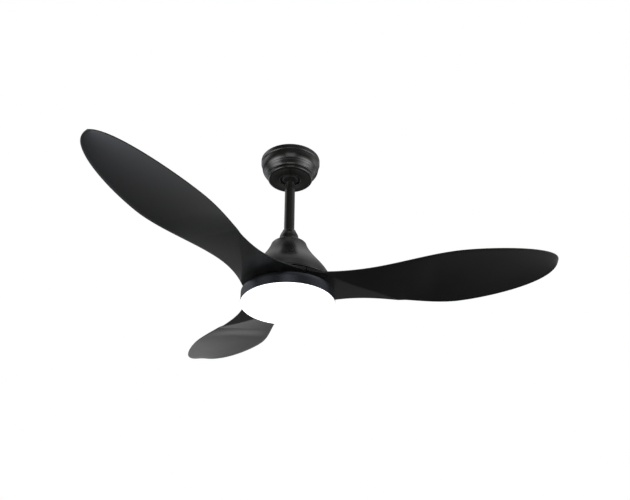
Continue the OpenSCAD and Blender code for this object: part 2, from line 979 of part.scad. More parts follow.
// Height of the leading edge above the root pad's underside
function lead_height(u) =
    let(base = 200)
    pad_z + 15 + rise_slope * (u - base) - (u < base ? 3.5 * pow((base - u) / 100, 2) : 0);

// Slope across the blade: steeper near the root, where the crease is
function cross_slope(u) = pitch_slope * (1 + 0.9 * max(0, (290 - u) / 190));

// Height of the underside; v runs from the leading edge to the trailing edge
function underside(u, v, half) =
    let(main = lead_height(u) - cross_slope(u) * (v + half))
    let(facet = pad_z - 0.03 * max(0, u - 95))
    let(hollow = blade_camber * half / belly_h * (1 - pow(v / max(half, 1), 2)))
    soft_max(main + hollow * smooth((u - 290) / 80), facet, 0.8);

function thickness(u, side) =
    let(middle = mix(pad_t, blade_mid, smooth((u - root_r) / 120)))
    let(edge = mix(pad_t, blade_edge, smooth((u - root_r / 2) / 40)))
    edge + (mix(middle, 3.6, smooth((u - belly_at) / tip_len)) - edge)
        * pow(max(1 - side * side, 0), 0.6);

// One row of points across the blade: [u, v, side], side from -1 to 1
function hub_row(r) =
    let(open = 60 - seam / r * 180 / PI)
    [for (i = [0:root_cols])
        let(side = 2 * i / root_cols - 1)
        [r * cos(open * side), r * sin(open * side), side]];

function bay_row(a) =
    let(u = waist_at - bay_r * sin(a))
    let(half = waist_h + bay_r * (1 - cos(a)))
    let(bow = 2 * a)
    let(curve = half / sin(max(bow, eps)))
    [for (i = [0:root_cols])
        let(side = 2 * i / root_cols - 1)
        [u + curve * (cos(bow * side) - cos(bow)), curve * sin(bow * side), side]];

function open_row(u) =
    let(half = max(half_width(u), 3))
    [for (i = [0:root_cols])
        let(side = 2 * i / root_cols - 1)
        [u, lean(u) + half * side, side]];

hub_radii = [pad_in_r, pad_in_r + 14, pad_in_r + 28, pad_in_r + 38];
bay_angles = [29.8, 26, 22, 18, 14, 10, 6, 3, 0.5];
belly_steps = 9;
tip_steps = 12;

// A ring of points round one row: the underside, then the top side back again
function hub_ring(r) = concat(
    [for (p = hub_row(r)) [p[0], p[1], pad_z]],
    [for (i = [root_cols:-1:0]) let(p = hub_row(r)[i]) [p[0], p[1], floor_z]]
);

function blade_ring(row) =
    let(half = (row[root_cols][1] - row[0][1]) / 2)
    let(middle = (row[root_cols][1] + row[0][1]) / 2)
    let(under = [for (p = row) underside(p[0], p[1] - middle, half)])
    concat(
        [for (i = [0:root_cols]) [row[i][0], row[i][1], under[i]]],
        [for (i = [root_cols:-1:0])
            [row[i][0], row[i][1], under[i] + thickness(row[i][0], row[i][2])]]
    );

blade_rings = concat(
    [for (r = hub_radii) hub_ring(r)],
    [for (a = bay_angles) blade_ring(bay_row(a))],
    [for (i = [1:belly_steps])
        blade_ring(open_row(mix(waist_at, belly_at, i / belly_steps)))],
    [for (i = [1:tip_steps])
        blade_ring(open_row(belly_at + tip_len * sin(90 * i / tip_steps)))]
);

module blade_shape() {
    ring_n = len(blade_rings[0]);
    last_ring = len(blade_rings) - 1;
    half_n = ring_n / 2;
    points = [for (r = blade_rings) for (p = r) p];
    sides = [for (k = [0:last_ring - 1]) for (i = [0:ring_n - 1])
        let(j = (i + 1) % ring_n)
        let(a = k * ring_n + i)
        let(b = k * ring_n + j)
        let(c = b + ring_n)
        let(d = a + ring_n)
        each [[a, b, c], [a, c, d]]];
    caps = [for (i = [0:half_n - 2])
        let(a = i)
        let(b = i + 1)
        let(c = ring_n - 2 - i)
        let(d = ring_n - 1 - i)
        let(e = last_ring * ring_n)
        each [[a, c, b], [a, d, c], [e + a, e + b, e + c], [e + a, e + c, e + d]]];
    polyhedron(points, concat(sides, caps), convexity = 6);
}

module blade_screw_places() {
    for (b = [0:blade_count - 1])
        for (a = [-30, 0, 30])
            rotate([0, 0, first_blade + b * sector + a])
            translate([blade_screw_r, 0, 0])
            children();
}

module blade(index) {
    color([0.09, 0.09, 0.09])
    rotate([0, 0, first_blade + index * sector])
    difference() {
        blade_shape();
        for (a = [-30, 0, 30])
            rotate([0, 0, a])
            translate([blade_screw_r, 0, 0])
            rod(2.9, pad_z - 5, floor_z + 5);
    }
}

washer_t = 0.8;
module blade_1() { blade(0); }
module blade_2() { blade(1); }
module blade_3() { blade(2); }

module blade_screws() {
    color("dimgray")
    blade_screw_places()
    screw_up(2.5, 5, pad_z - washer_t, washer_t + pad_t + rotor_wall + 3);
}

module blade_washers() {
    color("black")
    blade_screw_places()
    tube(6.5, 2.9, pad_z - washer_t, pad_z);
}

hanging_bracket();
canopy();
canopy_cap();
canopy_screws();
receiver_box();
hanger_ball();
ball_pin();
ball_set_screw();
downrod();
rod_wires();
motor_yoke();
yoke_clevis_pin();
yoke_clip();
yoke_set_screws();
coupling_cover();
motor_housing();
housing_screws();
motor_shaft();
shaft_snap_ring();
stator_hub();
stator_core();
stator_windings();
lower_bearing_inner();
upper_bearing_inner();
light_bracket();
shaft_locknut();
light_pan();
light_pan_screws();
led_driver();
driver_screws();
led_board();
led_chips();
board_screws();
rotor_bottom();
rotor_top();
rotor_magnets();
rotor_screws();
lower_bearing_outer();
upper_bearing_outer();
lower_bearing_balls();
upper_bearing_balls();
blade_1();
blade_2();
blade_3();
blade_screws();
blade_washers();
diffuser();
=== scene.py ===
"""Ceiling fan with a light: the smooth outer pieces, all finishes, the studio and the camera.

A fan part's lengths are in millimetres and its heights start at the ceiling plane. The finishes
and the studio are in metres, as Blender is.
"""

import json
import logging
import math
from collections.abc import Sequence
from dataclasses import dataclass, field
from enum import Enum

import bmesh
import bpy
from mathutils import Matrix, Vector


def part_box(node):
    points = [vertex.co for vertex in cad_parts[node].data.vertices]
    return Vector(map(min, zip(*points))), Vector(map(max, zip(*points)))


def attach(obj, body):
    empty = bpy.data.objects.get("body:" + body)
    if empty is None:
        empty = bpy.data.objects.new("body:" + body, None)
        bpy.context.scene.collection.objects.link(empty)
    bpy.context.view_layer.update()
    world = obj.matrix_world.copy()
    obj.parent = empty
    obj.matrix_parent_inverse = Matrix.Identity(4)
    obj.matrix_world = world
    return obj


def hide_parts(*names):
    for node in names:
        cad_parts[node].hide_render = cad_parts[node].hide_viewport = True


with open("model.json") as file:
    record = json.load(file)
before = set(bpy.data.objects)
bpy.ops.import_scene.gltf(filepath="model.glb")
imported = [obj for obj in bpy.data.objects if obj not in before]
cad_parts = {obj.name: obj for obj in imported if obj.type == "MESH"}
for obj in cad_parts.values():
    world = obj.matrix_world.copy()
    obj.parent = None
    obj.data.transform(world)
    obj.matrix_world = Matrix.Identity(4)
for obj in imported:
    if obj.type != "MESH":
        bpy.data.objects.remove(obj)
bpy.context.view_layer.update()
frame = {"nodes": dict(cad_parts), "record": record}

LOG = logging.getLogger("ceiling_fan")
MM = 0.001
UP = Vector((0, 0, 1))
Path = list[tuple[float, float]]
Ring = list[tuple[float, float, float]]
Color = tuple[float, float, float]


# ---- Shader building -----------------------------------------------------------


class Sock:
    """A shader socket that takes part in plain arithmetic."""

    def __init__(self, recipe: "Recipe", link: bpy.types.NodeSocket) -> None:
        """Wraps one output socket.

        Args:
            recipe: the recipe that makes the Math nodes.
            link: the output socket.
        """
        self.recipe = recipe
        self.link = link

    def _math(self, operation: str, first: object, second: object = 0.0) -> "Sock":
        """Adds one Math node.

        Args:
            operation: the node's operation.
            first: first number or socket.
            second: second number or socket.

        Returns:
            The node's result.
        """
        return self.recipe.node(
            "ShaderNodeMath", {"operation": operation}, {0: first, 1: second}
        )

    def __add__(self, other: object) -> "Sock":
        """Sum."""
        return self._math("ADD", self, other)

    def __radd__(self, other: object) -> "Sock":
        """Sum, with the number first."""
        return self._math("ADD", other, self)

    def __sub__(self, other: object) -> "Sock":
        """Difference."""
        return self._math("SUBTRACT", self, other)

    def __rsub__(self, other: object) -> "Sock":
        """Difference, with the number first."""
        return self._math("SUBTRACT", other, self)

    def __mul__(self, other: object) -> "Sock":
        """Product."""
        return self._math("MULTIPLY", self, other)

    def __rmul__(self, other: object) -> "Sock":
        """Product, with the number first."""
        return self._math("MULTIPLY", other, self)

    def __truediv__(self, other: object) -> "Sock":
        """Quotient."""
        return self._math("DIVIDE", self, other)

    def __rtruediv__(self, other: object) -> "Sock":
        """Quotient, with the number first."""
        return self._math("DIVIDE", other, self)

    def __pow__(self, other: object) -> "Sock":
        """Power."""
        return self._math("POWER", self, other)

    def __rpow__(self, other: object) -> "Sock":
        """Power, with the number first."""
        return self._math("POWER", other, self)

    def sine(self) -> "Sock":
        """Sine of the value, in radians."""
        return self._math("SINE", self)

    def exponential(self) -> "Sock":
        """Exponential of the value."""
        return self._math("EXPONENT", self)

    def step(self, low: float, high: float) -> "Sock":
        """Eases from 0 at low to 1 at high.

        Args:
            low: where the ramp starts.
            high: where the ramp ends.

        Returns:
            The eased value.
        """
        return self.recipe.node(
            "ShaderNodeMapRange",
            {"interpolation_type": "SMOOTHSTEP", "clamp": True},
            {"Value": self, "From Min": low, "From Max": high},
        )


class Recipe:
    """Builds one node tree, for a material or the world."""

    def __init__(self, tree: bpy.types.NodeTree) -> None:
        """Clears the tree.

        Args:
            tree: the node tree to fill.
        """
        self.tree = tree
        tree.nodes.clear()

    def node(
        self,
        kind: str,
        settings: dict[str, object] | None = None,
        inputs: dict[object, object] | None = None,
        output: object = 0,
    ) -> Sock:
        """Adds one node of any type.

        Args:
            kind: Blender's name of the node type.
            settings: the node's own settings, set first; "stops" fills a ramp.
            inputs: socket name or number to a value or a Sock.
            output: name or number of the output that is wanted.

        Returns:
            The wanted output.
        """
        made = self.tree.nodes.new(kind)
        for key, value in (settings or {}).items():
            if key == "stops":
                self._fill_ramp(made.color_ramp, value)
            else:
                setattr(made, key, value)
        for key, value in (inputs or {}).items():
            if isinstance(value, Sock):
                self.tree.links.new(value.link, made.inputs[key])
            else:
                made.inputs[key].default_value = value
        return Sock(self, made.outputs[output]) if len(made.outputs) else Sock(self, None)

    @staticmethod
    def _fill_ramp(ramp: bpy.types.ColorRamp, stops: Sequence[tuple[float, Color]]) -> None:
        """Puts the stops on a ramp.

        Args:
            ramp: the ramp of the node.
            stops: place and colour of each stop.
        """
        while len(ramp.elements) < len(stops):
            ramp.elements.new(0.5)
        for element, (place, color) in zip(ramp.elements, stops):
            element.position = place
            element.color = (*color, 1)

    def place(self) -> Sock:
        """The surface's own place, in metres in the shared frame."""
        return self.node("ShaderNodeTexCoord", output="Object")

    def noise(self, scale: float, detail: float = 2.0, stretch: Color = (1, 1, 1)) -> Sock:
        """Soft noise from 0 to 1.

        Args:
            scale: grains per metre.
            detail: levels of finer noise.
            stretch: how much denser the noise is along each axis.

        Returns:
            The noise.
        """
        at = self.node("ShaderNodeMapping", {}, {"Vector": self.place(), "Scale": stretch})
        return self.node(
            "ShaderNodeTexNoise", {}, {"Vector": at, "Scale": scale, "Detail": detail}
        )

    def cells(self, scale: float, output: str = "Distance") -> Sock:
        """Cells of even size.

        Args:
            scale: cells per metre.
            output: which output of the node.

        Returns:
            The wanted measure.
        """
        return self.node(
            "ShaderNodeTexVoronoi", {}, {"Vector": self.place(), "Scale": scale}, output
        )

    def axis(self, letter: str) -> Sock:
        """One coordinate of the surface's place."""
        return self.node("ShaderNodeSeparateXYZ", {}, {0: self.place()}, letter)

    def radius(self) -> Sock:
        """Distance from the fan's axis."""
        x, y = self.axis("X"), self.axis("Y")
        return (x * x + y * y) ** 0.5

    def between(self, amount: Sock, low: Color, high: Color) -> Sock:
        """Mixes two colours.

        Args:
            amount: 0 gives low, 1 gives high.
            low: the first colour.
            high: the second colour.

        Returns:
            The mixed colour.
        """
        return self.node(
            "ShaderNodeMix", {"data_type": "RGBA"},
            {0: amount, 6: (*low, 1), 7: (*high, 1)}, 2,
        )


def shade(color: Color, factor: float) -> Color:
    """A lighter or darker copy of a colour."""
    return tuple(min(c * factor, 1.0) for c in color)


@dataclass(frozen=True)
class Finish:
    """A plain finish; the kinds below add what varies over the surface."""

    name: str
    color: Color
    roughness: float
    metallic: float = 0.0
    specular: float = 0.5
    bump_depth: float = 0.00004

    def material(self) -> bpy.types.Material:
        """Makes the material.

        Returns:
            The new material.
        """
        made = bpy.data.materials.new(self.name)
        made.use_nodes = True
        recipe = Recipe(made.node_tree)
        varying = self.surface(recipe)
        height = varying.pop("height")
        varying["Normal"] = recipe.node(
            "ShaderNodeBump", {},
            {"Strength": 1.0, "Distance": self.bump_depth, "Height": height},
        )
        constant = {"Metallic": self.metallic, "Specular IOR Level": self.specular}
        shader = recipe.node("ShaderNodeBsdfPrincipled", {}, {**constant, **varying})
        recipe.node("ShaderNodeOutputMaterial", {}, {"Surface": shader})
        made.diffuse_color = (*self.color, 1)
        return made

    def surface(self, recipe: Recipe) -> dict[str, Sock]:
        """What varies over the surface.

        Args:
            recipe: the material's recipe.

        Returns:
            Socket name to value; "height" drives the bump.
        """
        tone = recipe.noise(14, 3)
        return {
            "Base Color": recipe.between(tone, shade(self.color, 0.85), shade(self.color, 1.15)),
            "Roughness": self.roughness + (tone - 0.5) * 0.1,
            "height": recipe.noise(700),
        }


@dataclass(frozen=True)
class SprayedPaint(Finish):
    """Satin paint on sheet metal, with a fine orange peel and a little dust."""

    peel: float = 420.0
    dust: float = 0.03

    def surface(self, recipe: Recipe) -> dict[str, Sock]:
        """Orange peel, slow changes of gloss and fine dust specks.

        Args:
            recipe: the material's recipe.

        Returns:
            Socket name to value; "height" drives the bump.
        """
        cloud = recipe.noise(9, 4)
        specks = recipe.noise(2600, 1).step(0.70, 0.80)
        base = recipe.between(cloud, shade(self.color, 0.9), shade(self.color, 1.12))
        dusty = recipe.node(
            "ShaderNodeMix", {"data_type": "RGBA"},
            {0: specks * self.dust, 6: base, 7: (0.45, 0.44, 0.42, 1)}, 2,
        )
        return {
            "Base Color": dusty,
            "Roughness": self.roughness + (cloud - 0.5) * 0.08 + specks * 0.1,
            "height": recipe.noise(self.peel, 1) * 0.8 + recipe.noise(self.peel * 4, 1) * 0.2,
        }


@dataclass(frozen=True)
class GrainedPlastic(Finish):
    """Moulded plastic with a spark-eroded grain and faint flow marks along the blade."""

    grain: float = 1500.0

    def surface(self, recipe: Recipe) -> dict[str, Sock]:
        """Fine pits, flow marks and slow changes of tone.

        Args:
            recipe: the material's recipe.

        Returns:
            Socket name to value; "height" drives the bump.
        """
        flow = recipe.noise(7, 5)
        pits = recipe.cells(self.grain)
        fine = recipe.noise(self.grain * 0.6, 3)
        return {
            "Base Color": recipe.between(flow, shade(self.color, 0.82), shade(self.color, 1.2)),
            "Roughness": self.roughness + (flow - 0.5) * 0.09 + (fine - 0.5) * 0.12,
            "height": pits * 0.5 + fine * 0.5,
        }


@dataclass(frozen=True)
class BrushedPaint(Finish):
    """Dark metallic lacquer over metal brushed round the ring."""

    lines: float = 5200.0

    def surface(self, recipe: Recipe) -> dict[str, Sock]:
        """Fine lines that run round the axis, at slightly different heights.

        Args:
            recipe: the material's recipe.

        Returns:
            Socket name to value; "height" drives the bump.
        """
        brushed = recipe.noise(60, 2, (1, 1, 60))
        coarse = recipe.noise(18, 3, (1, 1, 25))
        return {
            "Base Color": recipe.between(
                brushed * 0.6 + coarse * 0.4, shade(self.color, 0.7), shade(self.color, 1.35)
            ),
            "Roughness": self.roughness + (brushed - 0.5) * 0.18,
            "height": (recipe.axis("Z") * self.lines + coarse * 3).sine() * 0.2 + brushed,
        }


@dataclass(frozen=True)
class OpalAcrylic(Finish):
    """Opal cover, lit from inside, a touch less bright at its very edge."""

    glow: float = 1.6
    rim_at: float = 0.112

    def surface(self, recipe: Recipe) -> dict[str, Sock]:
        """An even glow that falls off slightly towards the rim.

        Args:
            recipe: the material's recipe.

        Returns:
            Socket name to value; "height" drives the bump.
        """
        away = recipe.radius()
        milk = recipe.noise(30, 3)
        edge = away.step(self.rim_at - 0.03, self.rim_at + 0.004)
        lit = edge * 0.12 + (milk - 0.5) * 0.02
        return {
            "Base Color": recipe.between(milk, shade(self.color, 0.97), self.color),
            "Roughness": self.roughness + (milk - 0.5) * 0.05,
            "Emission Color": recipe.between(lit, (1, 1, 1), (0.86, 0.9, 0.95)),
            "Emission Strength": self.glow,
            "height": recipe.noise(900),
        }


@dataclass(frozen=True)
class PlatedSteel(Finish):
    """Zinc plate with the dull and bright patches of its crystals."""

    spangle: float = 160.0

    def surface(self, recipe: Recipe) -> dict[str, Sock]:
        """Crystals of different brightness, with scuffs across them.

        Args:
            recipe: the material's recipe.

        Returns:
            Socket name to value; "height" drives the bump.
        """
        crystal = recipe.node(
            "ShaderNodeSeparateXYZ", {}, {0: recipe.cells(self.spangle, "Color")}, "X"
        )
        scuff = recipe.noise(90, 4, (1, 1, 9)).step(0.5, 0.75)
        tone = crystal * 0.6 + scuff * 0.4
        return {
            "Base Color": recipe.between(tone, shade(self.color, 0.78), shade(self.color, 1.15)),
            "Roughness": self.roughness + (crystal - 0.5) * 0.16 + scuff * 0.1,
            "height": crystal * 0.3 + recipe.noise(1400) * 0.7,
        }


@dataclass(frozen=True)
class TurnedMetal(Finish):
    """Metal turned on a lathe, with fine rings round the fan's axis."""

    pitch: float = 0.0005

    def surface(self, recipe: Recipe) -> dict[str, Sock]:
        """Turning marks across and along the axis, and light stains.

        Args:
            recipe: the material's recipe.

        Returns:
            Socket name to value; "height" drives the bump.
        """
        turns = 2 * math.pi / self.pitch
        rings = (recipe.radius() * turns).sine() * 0.5 + (recipe.axis("Z") * turns).sine() * 0.5
        stain = recipe.noise(45, 4)
        return {
            "Base Color": recipe.between(stain, shade(self.color, 0.8), shade(self.color, 1.1)),
            "Roughness": self.roughness + (stain - 0.5) * 0.2,
            "height": rings * 0.4 + recipe.noise(900) * 0.2,
        }


@dataclass(frozen=True)
class CastSkin(Finish):
    """The pebbled skin of a casting."""

    pebble: float = 520.0

    def surface(self, recipe: Recipe) -> dict[str, Sock]:
        """Pebbles of two sizes, with painted shade in the hollows.

        Args:
            recipe: the material's recipe.

        Returns:
            Socket name to value; "height" drives the bump.
        """
        big, small = recipe.noise(self.pebble, 4), recipe.cells(self.pebble * 2.2)
        return {
            # base colour follows the pebble bump, so the hollows take painted shade
            "Base Color": recipe.between(big, shade(self.color, 0.6), shade(self.color, 1.3)),
            "Roughness": self.roughness + (big - 0.5) * 0.25,
            "height": big * 0.7 + small * 0.3,
        }


@dataclass(frozen=True)
class StackedSheets(Finish):
    """Steel sheets stacked along the axis, each 0.5 mm thick."""

    sheet: float = 0.0005

    def surface(self, recipe: Recipe) -> dict[str, Sock]:
        """One dark line between each sheet and the next.

        Args:
            recipe: the material's recipe.

        Returns:
            Socket name to value; "height" drives the bump.
        """
        wave = (recipe.axis("Z") * (2 * math.pi / self.sheet)).sine()
        line = wave.step(-1.0, -0.4)
        blue = recipe.noise(60, 3)
        return {
            "Base Color": recipe.between(
                line * 0.7 + blue * 0.3, shade(self.color, 0.35), shade(self.color, 1.25)
            ),
            "Roughness": self.roughness + (blue - 0.5) * 0.2,
            "height": line,
        }


@dataclass(frozen=True)
class WoundWire(Finish):
    """Enamelled wire in rows that follow each other outwards from the axis."""

    wire: float = 0.0007

    def surface(self, recipe: Recipe) -> dict[str, Sock]:
        """Round wires, with painted shade in the grooves between them.

        Args:
            recipe: the material's recipe.

        Returns:
            Socket name to value; "height" drives the bump.
        """
        wave = (recipe.radius() * (2 * math.pi / self.wire)).sine() * 0.5 + 0.5
        tint = recipe.noise(120, 2)
        return {
            # base colour darkest in the grooves between wires: painted shade
            "Base Color": recipe.between(
                wave * 0.75 + tint * 0.25, shade(self.color, 0.3), shade(self.color, 1.3)
            ),
            "Roughness": self.roughness + (tint - 0.5) * 0.15,
            "height": wave,
        }


@dataclass(frozen=True)
class WireSleeve(Finish):
    """Plastic insulation in four colours, told apart by the side of the rod they run on."""

    gap: float = 0.00255

    def surface(self, recipe: Recipe) -> dict[str, Sock]:
        """Colour by place across the bundle, with a faint extrusion grain.

        Args:
            recipe: the material's recipe.

        Returns:
            Socket name to value; "height" drives the bump.
        """
        across = recipe.axis("X") / (4 * self.gap) + 0.5
        color = recipe.node(
            "ShaderNodeValToRGB",
            {"stops": [(0.0, (0.02, 0.05, 0.35)), (0.25, (0.03, 0.25, 0.06)),
                       (0.5, (0.75, 0.75, 0.72)), (0.75, (0.015, 0.015, 0.015))]},
            {0: across},
        )
        color.link.node.color_ramp.interpolation = "CONSTANT"
        return {
            "Base Color": color,
            "Roughness": self.roughness + (recipe.noise(300) - 0.5) * 0.1,
            "height": recipe.noise(260, 2, (1, 1, 0.2)),
        }


@dataclass(frozen=True)
class PrintedBoard(Finish):
    """White solder mask with copper tracks that show faintly under it."""

    track: float = 0.011

    def surface(self, recipe: Recipe) -> dict[str, Sock]:
        """Round tracks under the mask, and the mask's fine ripple.

        Args:
            recipe: the material's recipe.

        Returns:
            Socket name to value; "height" drives the bump.
        """
        wave = (recipe.radius() * (2 * math.pi / self.track)).sine()
        track = wave.step(0.1, 0.25)
        return {
            "Base Color": recipe.between(track, self.color, shade(self.color, 0.88)),
            "Roughness": self.roughness + (recipe.noise(200) - 0.5) * 0.1,
            "height": track + recipe.noise(600) * 0.2,
        }


@dataclass(frozen=True)
class GlowingChip(Finish):
    """Phosphor on an LED package, bright and faintly mottled."""

    glow: float = 3.0

    def surface(self, recipe: Recipe) -> dict[str, Sock]:
        """Mottled phosphor that gives off warm white light.

        Args:
            recipe: the material's recipe.

        Returns:
            Socket name to value; "height" drives the bump.
        """
        mottle = recipe.noise(3000, 2)
        return {
            "Base Color": recipe.between(mottle, shade(self.color, 0.9), self.color),
            "Roughness": self.roughness + (mottle - 0.5) * 0.1,
            "Emission Color": recipe.between(mottle, (1, 0.93, 0.8), (1, 0.98, 0.92)),
            "Emission Strength": self.glow,
            "height": mottle,
        }


@dataclass(frozen=True)
class PaleFloor(Finish):
    """A matt studio floor, lit from below so that it stays pale."""

    glow: float = 0.45

    def surface(self, recipe: Recipe) -> dict[str, Sock]:
        """A barely visible grain over an even glow.

        Args:
            recipe: the material's recipe.

        Returns:
            Socket name to value; "height" drives the bump.
        """
        grain = recipe.noise(60, 3)
        return {
            "Base Color": recipe.between(grain, shade(self.color, 0.98), self.color),
            "Roughness": self.roughness + (grain - 0.5) * 0.05,
            "Emission Color": recipe.between(grain, (0.99, 0.99, 0.98), (1, 1, 1)),
            "Emission Strength": self.glow,
            "height": grain,
        }


class Slot(Enum):
    """The record's material slots, each with its finish."""

    zinc_steel = PlatedSteel("zinc_plate", (0.62, 0.62, 0.60), 0.36, 1.0)
    bracket_steel = SprayedPaint("black_coated_steel", (0.02, 0.02, 0.021), 0.45)
    black_metal = SprayedPaint("satin_black_paint", (0.0135, 0.0145, 0.0125), 0.25, specular=0.85)
    # painted shade: a darker, less glossy copy of the canopy's satin black, used on the cap, which
    # has the same paint
    cap_metal = SprayedPaint("satin_black_paint_shaded_copy", (0.012, 0.013, 0.0105), 0.26, specular=0.7)
    ring_metal = BrushedPaint("dark_ring_lacquer", (0.105, 0.115, 0.135), 0.3, 1.0)
    blade_plastic = GrainedPlastic("grained_black_plastic", (0.0085, 0.0092, 0.0086), 0.38)
    opal_plastic = OpalAcrylic("opal_acrylic", (0.95, 0.95, 0.94), 0.35)
    cast_iron = CastSkin("blackened_casting", (0.09, 0.09, 0.10), 0.55, 0.6)
    ball_metal = CastSkin("phosphated_ball", (0.02, 0.02, 0.021), 0.55, 0.3, bump_depth=0.00002)
    bright_steel = TurnedMetal("ground_steel", (0.70, 0.70, 0.71), 0.2, 1.0, bump_depth=0.000008)
    screw_steel = PlatedSteel("plated_screws", (0.45, 0.45, 0.46), 0.32, 1.0, spangle=900.0)
    black_screw = CastSkin("black_oxide_screws", (0.05, 0.05, 0.052), 0.42, 0.8, pebble=1500.0)
    lamination = StackedSheets("stacked_sheets", (0.22, 0.22, 0.24), 0.4, 0.9)
    copper = WoundWire("enamelled_wire", (0.62, 0.28, 0.12), 0.3, 0.85, bump_depth=0.0002)
    magnet = CastSkin("ferrite", (0.10, 0.10, 0.11), 0.45, 0.3, pebble=900.0)
    rotor_alloy = TurnedMetal("die_cast_alloy", (0.52, 0.53, 0.55), 0.36, 1.0, pitch=0.0009)
    nylon = GrainedPlastic("natural_nylon", (0.85, 0.83, 0.76), 0.5, grain=700.0)
    white_case = GrainedPlastic("white_case", (0.86, 0.86, 0.84), 0.45, grain=900.0)
    wire_sleeve = WireSleeve("wire_sleeves", (0.05, 0.05, 0.05), 0.4)
    brass_nut = TurnedMetal("brass", (0.70, 0.53, 0.25), 0.28, 1.0)
    led_board = PrintedBoard("white_board", (0.88, 0.89, 0.86), 0.3)
    led_chip = GlowingChip("phosphor", (0.93, 0.80, 0.35), 0.25)
    washer_rubber = GrainedPlastic("soft_rubber", (0.02, 0.02, 0.02), 0.75, grain=1200.0)


class Paintbox:
    """Makes each finish once and hands it out by slot."""

    def __init__(self) -> None:
        """Starts with nothing mixed."""
        self.mixed: dict[Slot, bpy.types.Material] = {}

    def material(self, slot: Slot) -> bpy.types.Material:
        """The slot's material, made when it is first asked for.

        Args:
            slot: the record's slot.

        Returns:
            The material.
        """
        if slot not in self.mixed:
            self.mixed[slot] = slot.value.material()
        return self.mixed[slot]


# ---- Workshop: modelling by operators --------------------------------------------


class Workshop:
    """Small modelling steps that the sub-assemblies share."""

    @staticmethod
    def clear() -> None:
        """Deselects everything, so an operator acts on the new piece alone."""
        if bpy.context.object and bpy.context.object.mode == "EDIT":
            bpy.ops.object.mode_set(mode="OBJECT")
        bpy.ops.object.select_all(action="DESELECT")

    @staticmethod
    def activate(piece: bpy.types.Object) -> None:
        """Selects one piece and makes it the active one.

        Args:
            piece: the piece to work on.
        """
        Workshop.clear()
        piece.select_set(True)
        bpy.context.view_layer.objects.active = piece

    @staticmethod
    def lathe(name: str, path: Path, segments: int = 128, closed: bool = False) -> bpy.types.Object:
        """Draws a ring out along a path, as a spinner draws a sheet.

        Args:
            name: name of the new piece.
            path: radius and height of each ring, in millimetres.
            segments: sides of the ring.
            closed: joins the last ring to the first.

        Returns:
            The new piece.
        """
        Workshop.clear()
        radius, height = path[0]
        bpy.ops.mesh.primitive_circle_add(
            vertices=segments, radius=radius * MM, location=(0, 0, height * MM)
        )
        piece = bpy.context.object
        piece.name = piece.data.name = name
        bpy.ops.object.mode_set(mode="EDIT")
        bpy.ops.mesh.select_all(action="SELECT")
        for next_radius, next_height in path[1:] + (path[:1] if closed else []):
            bpy.ops.mesh.extrude_region_move(
                TRANSFORM_OT_translate={"value": (0, 0, (next_height - height) * MM)}
            )
            share = next_radius / radius
            bpy.ops.transform.resize(
                value=(share, share, 1), center_override=(0, 0, next_height * MM)
            )
            radius, height = max(next_radius, 1e-6), next_height
        bpy.ops.object.mode_set(mode="OBJECT")
        Workshop.weld(piece, 1e-6)
        bpy.ops.object.transform_apply(location=True, rotation=True, scale=True)
        return piece

    @staticmethod
    def weld(piece: bpy.types.Object, reach: float) -> None:
        """Merges points that lie together and turns the faces outwards.

        Args:
            piece: the piece.
            reach: how near the points lie, in metres.
        """
        Workshop.activate(piece)
        bpy.ops.object.mode_set(mode="EDIT")
        bpy.ops.mesh.select_all(action="SELECT")
        bpy.ops.mesh.remove_doubles(threshold=reach)
        bpy.ops.mesh.normals_make_consistent(inside=False)
        bpy.ops.object.mode_set(mode="OBJECT")

    @staticmethod
    def blocks_round(
        name: str, size: tuple[float, float, float], place: tuple[float, float, float]
    ) -> list[bpy.types.Object]:
        """Three equal blocks with eased edges, a third of a turn apart.

        Args:
            name: name of the blocks.
            size: size of one block, in millimetres.
            place: middle of the first block, in millimetres.

        Returns:
            The blocks.
        """
        Workshop.clear()
        bpy.ops.mesh.primitive_cube_add(size=1, location=Vector(place) * MM)
        block = bpy.context.object
        bpy.ops.object.mode_set(mode="EDIT")
        bpy.ops.mesh.select_all(action="SELECT")
        bpy.ops.transform.resize(value=Vector(size) * MM)
        bpy.ops.mesh.bevel(offset=0.3 * MM, segments=2, affect="EDGES")
        bpy.ops.object.mode_set(mode="OBJECT")
        bpy.ops.object.transform_apply(location=True, rotation=True, scale=True)
        made = [Workshop.copy_round(block, f"{name}_{k}", 120 * k) for k in range(3)]
        bpy.data.objects.remove(block)
        return made

    @staticmethod
    def turn_outwards(piece: bpy.types.Object) -> None:
        """Flips an open shell whose faces look at the axis.

        Args:
            piece: the open shell.
        """
        total = sum(
            f.area * (f.normal.x * f.center.x + f.normal.y * f.center.y)
            for f in piece.data.polygons
        )
        if total < 0:
            piece.data.flip_normals()

    @staticmethod
    def apply(piece: bpy.types.Object, kind: str, **settings: object) -> None:
        """Adds a modifier with its settings and applies it.

        Args:
            piece: the piece.
            kind: type of the modifier.
            **settings: the modifier's own settings.
        """
        Workshop.activate(piece)
        made = piece.modifiers.new(kind.lower(), kind)
        for key, value in settings.items():
            setattr(made, key, value)
        bpy.ops.object.modifier_apply(modifier=made.name)

    @staticmethod
    def sheet(piece: bpy.types.Object, wall: float, edge: float = 0.25) -> None:
        """Gives a shell its wall, inwards, and eases the rims.

        Args:
            piece: the open shell.
            wall: thickness of the sheet, in millimetres.
            edge: width of the eased rims, in millimetres.
        """
        Workshop.turn_outwards(piece)
        Workshop.apply(
            piece, "SOLIDIFY", thickness=wall * MM, offset=-1.0, use_even_offset=True
        )
        Workshop.ease(piece, edge)

    @staticmethod
    def ease(piece: bpy.types.Object, edge: float, angle: float = 50.0) -> None:
        """Bevels the sharp edges.

        Args:
            piece: the piece.
            edge: width of the bevel, in millimetres.
            angle: sharper edges than this are eased, in degrees.
        """
        Workshop.apply(
            piece, "BEVEL", width=edge * MM, segments=2,
            limit_method="ANGLE", angle_limit=math.radians(angle), use_clamp_overlap=True,
        )

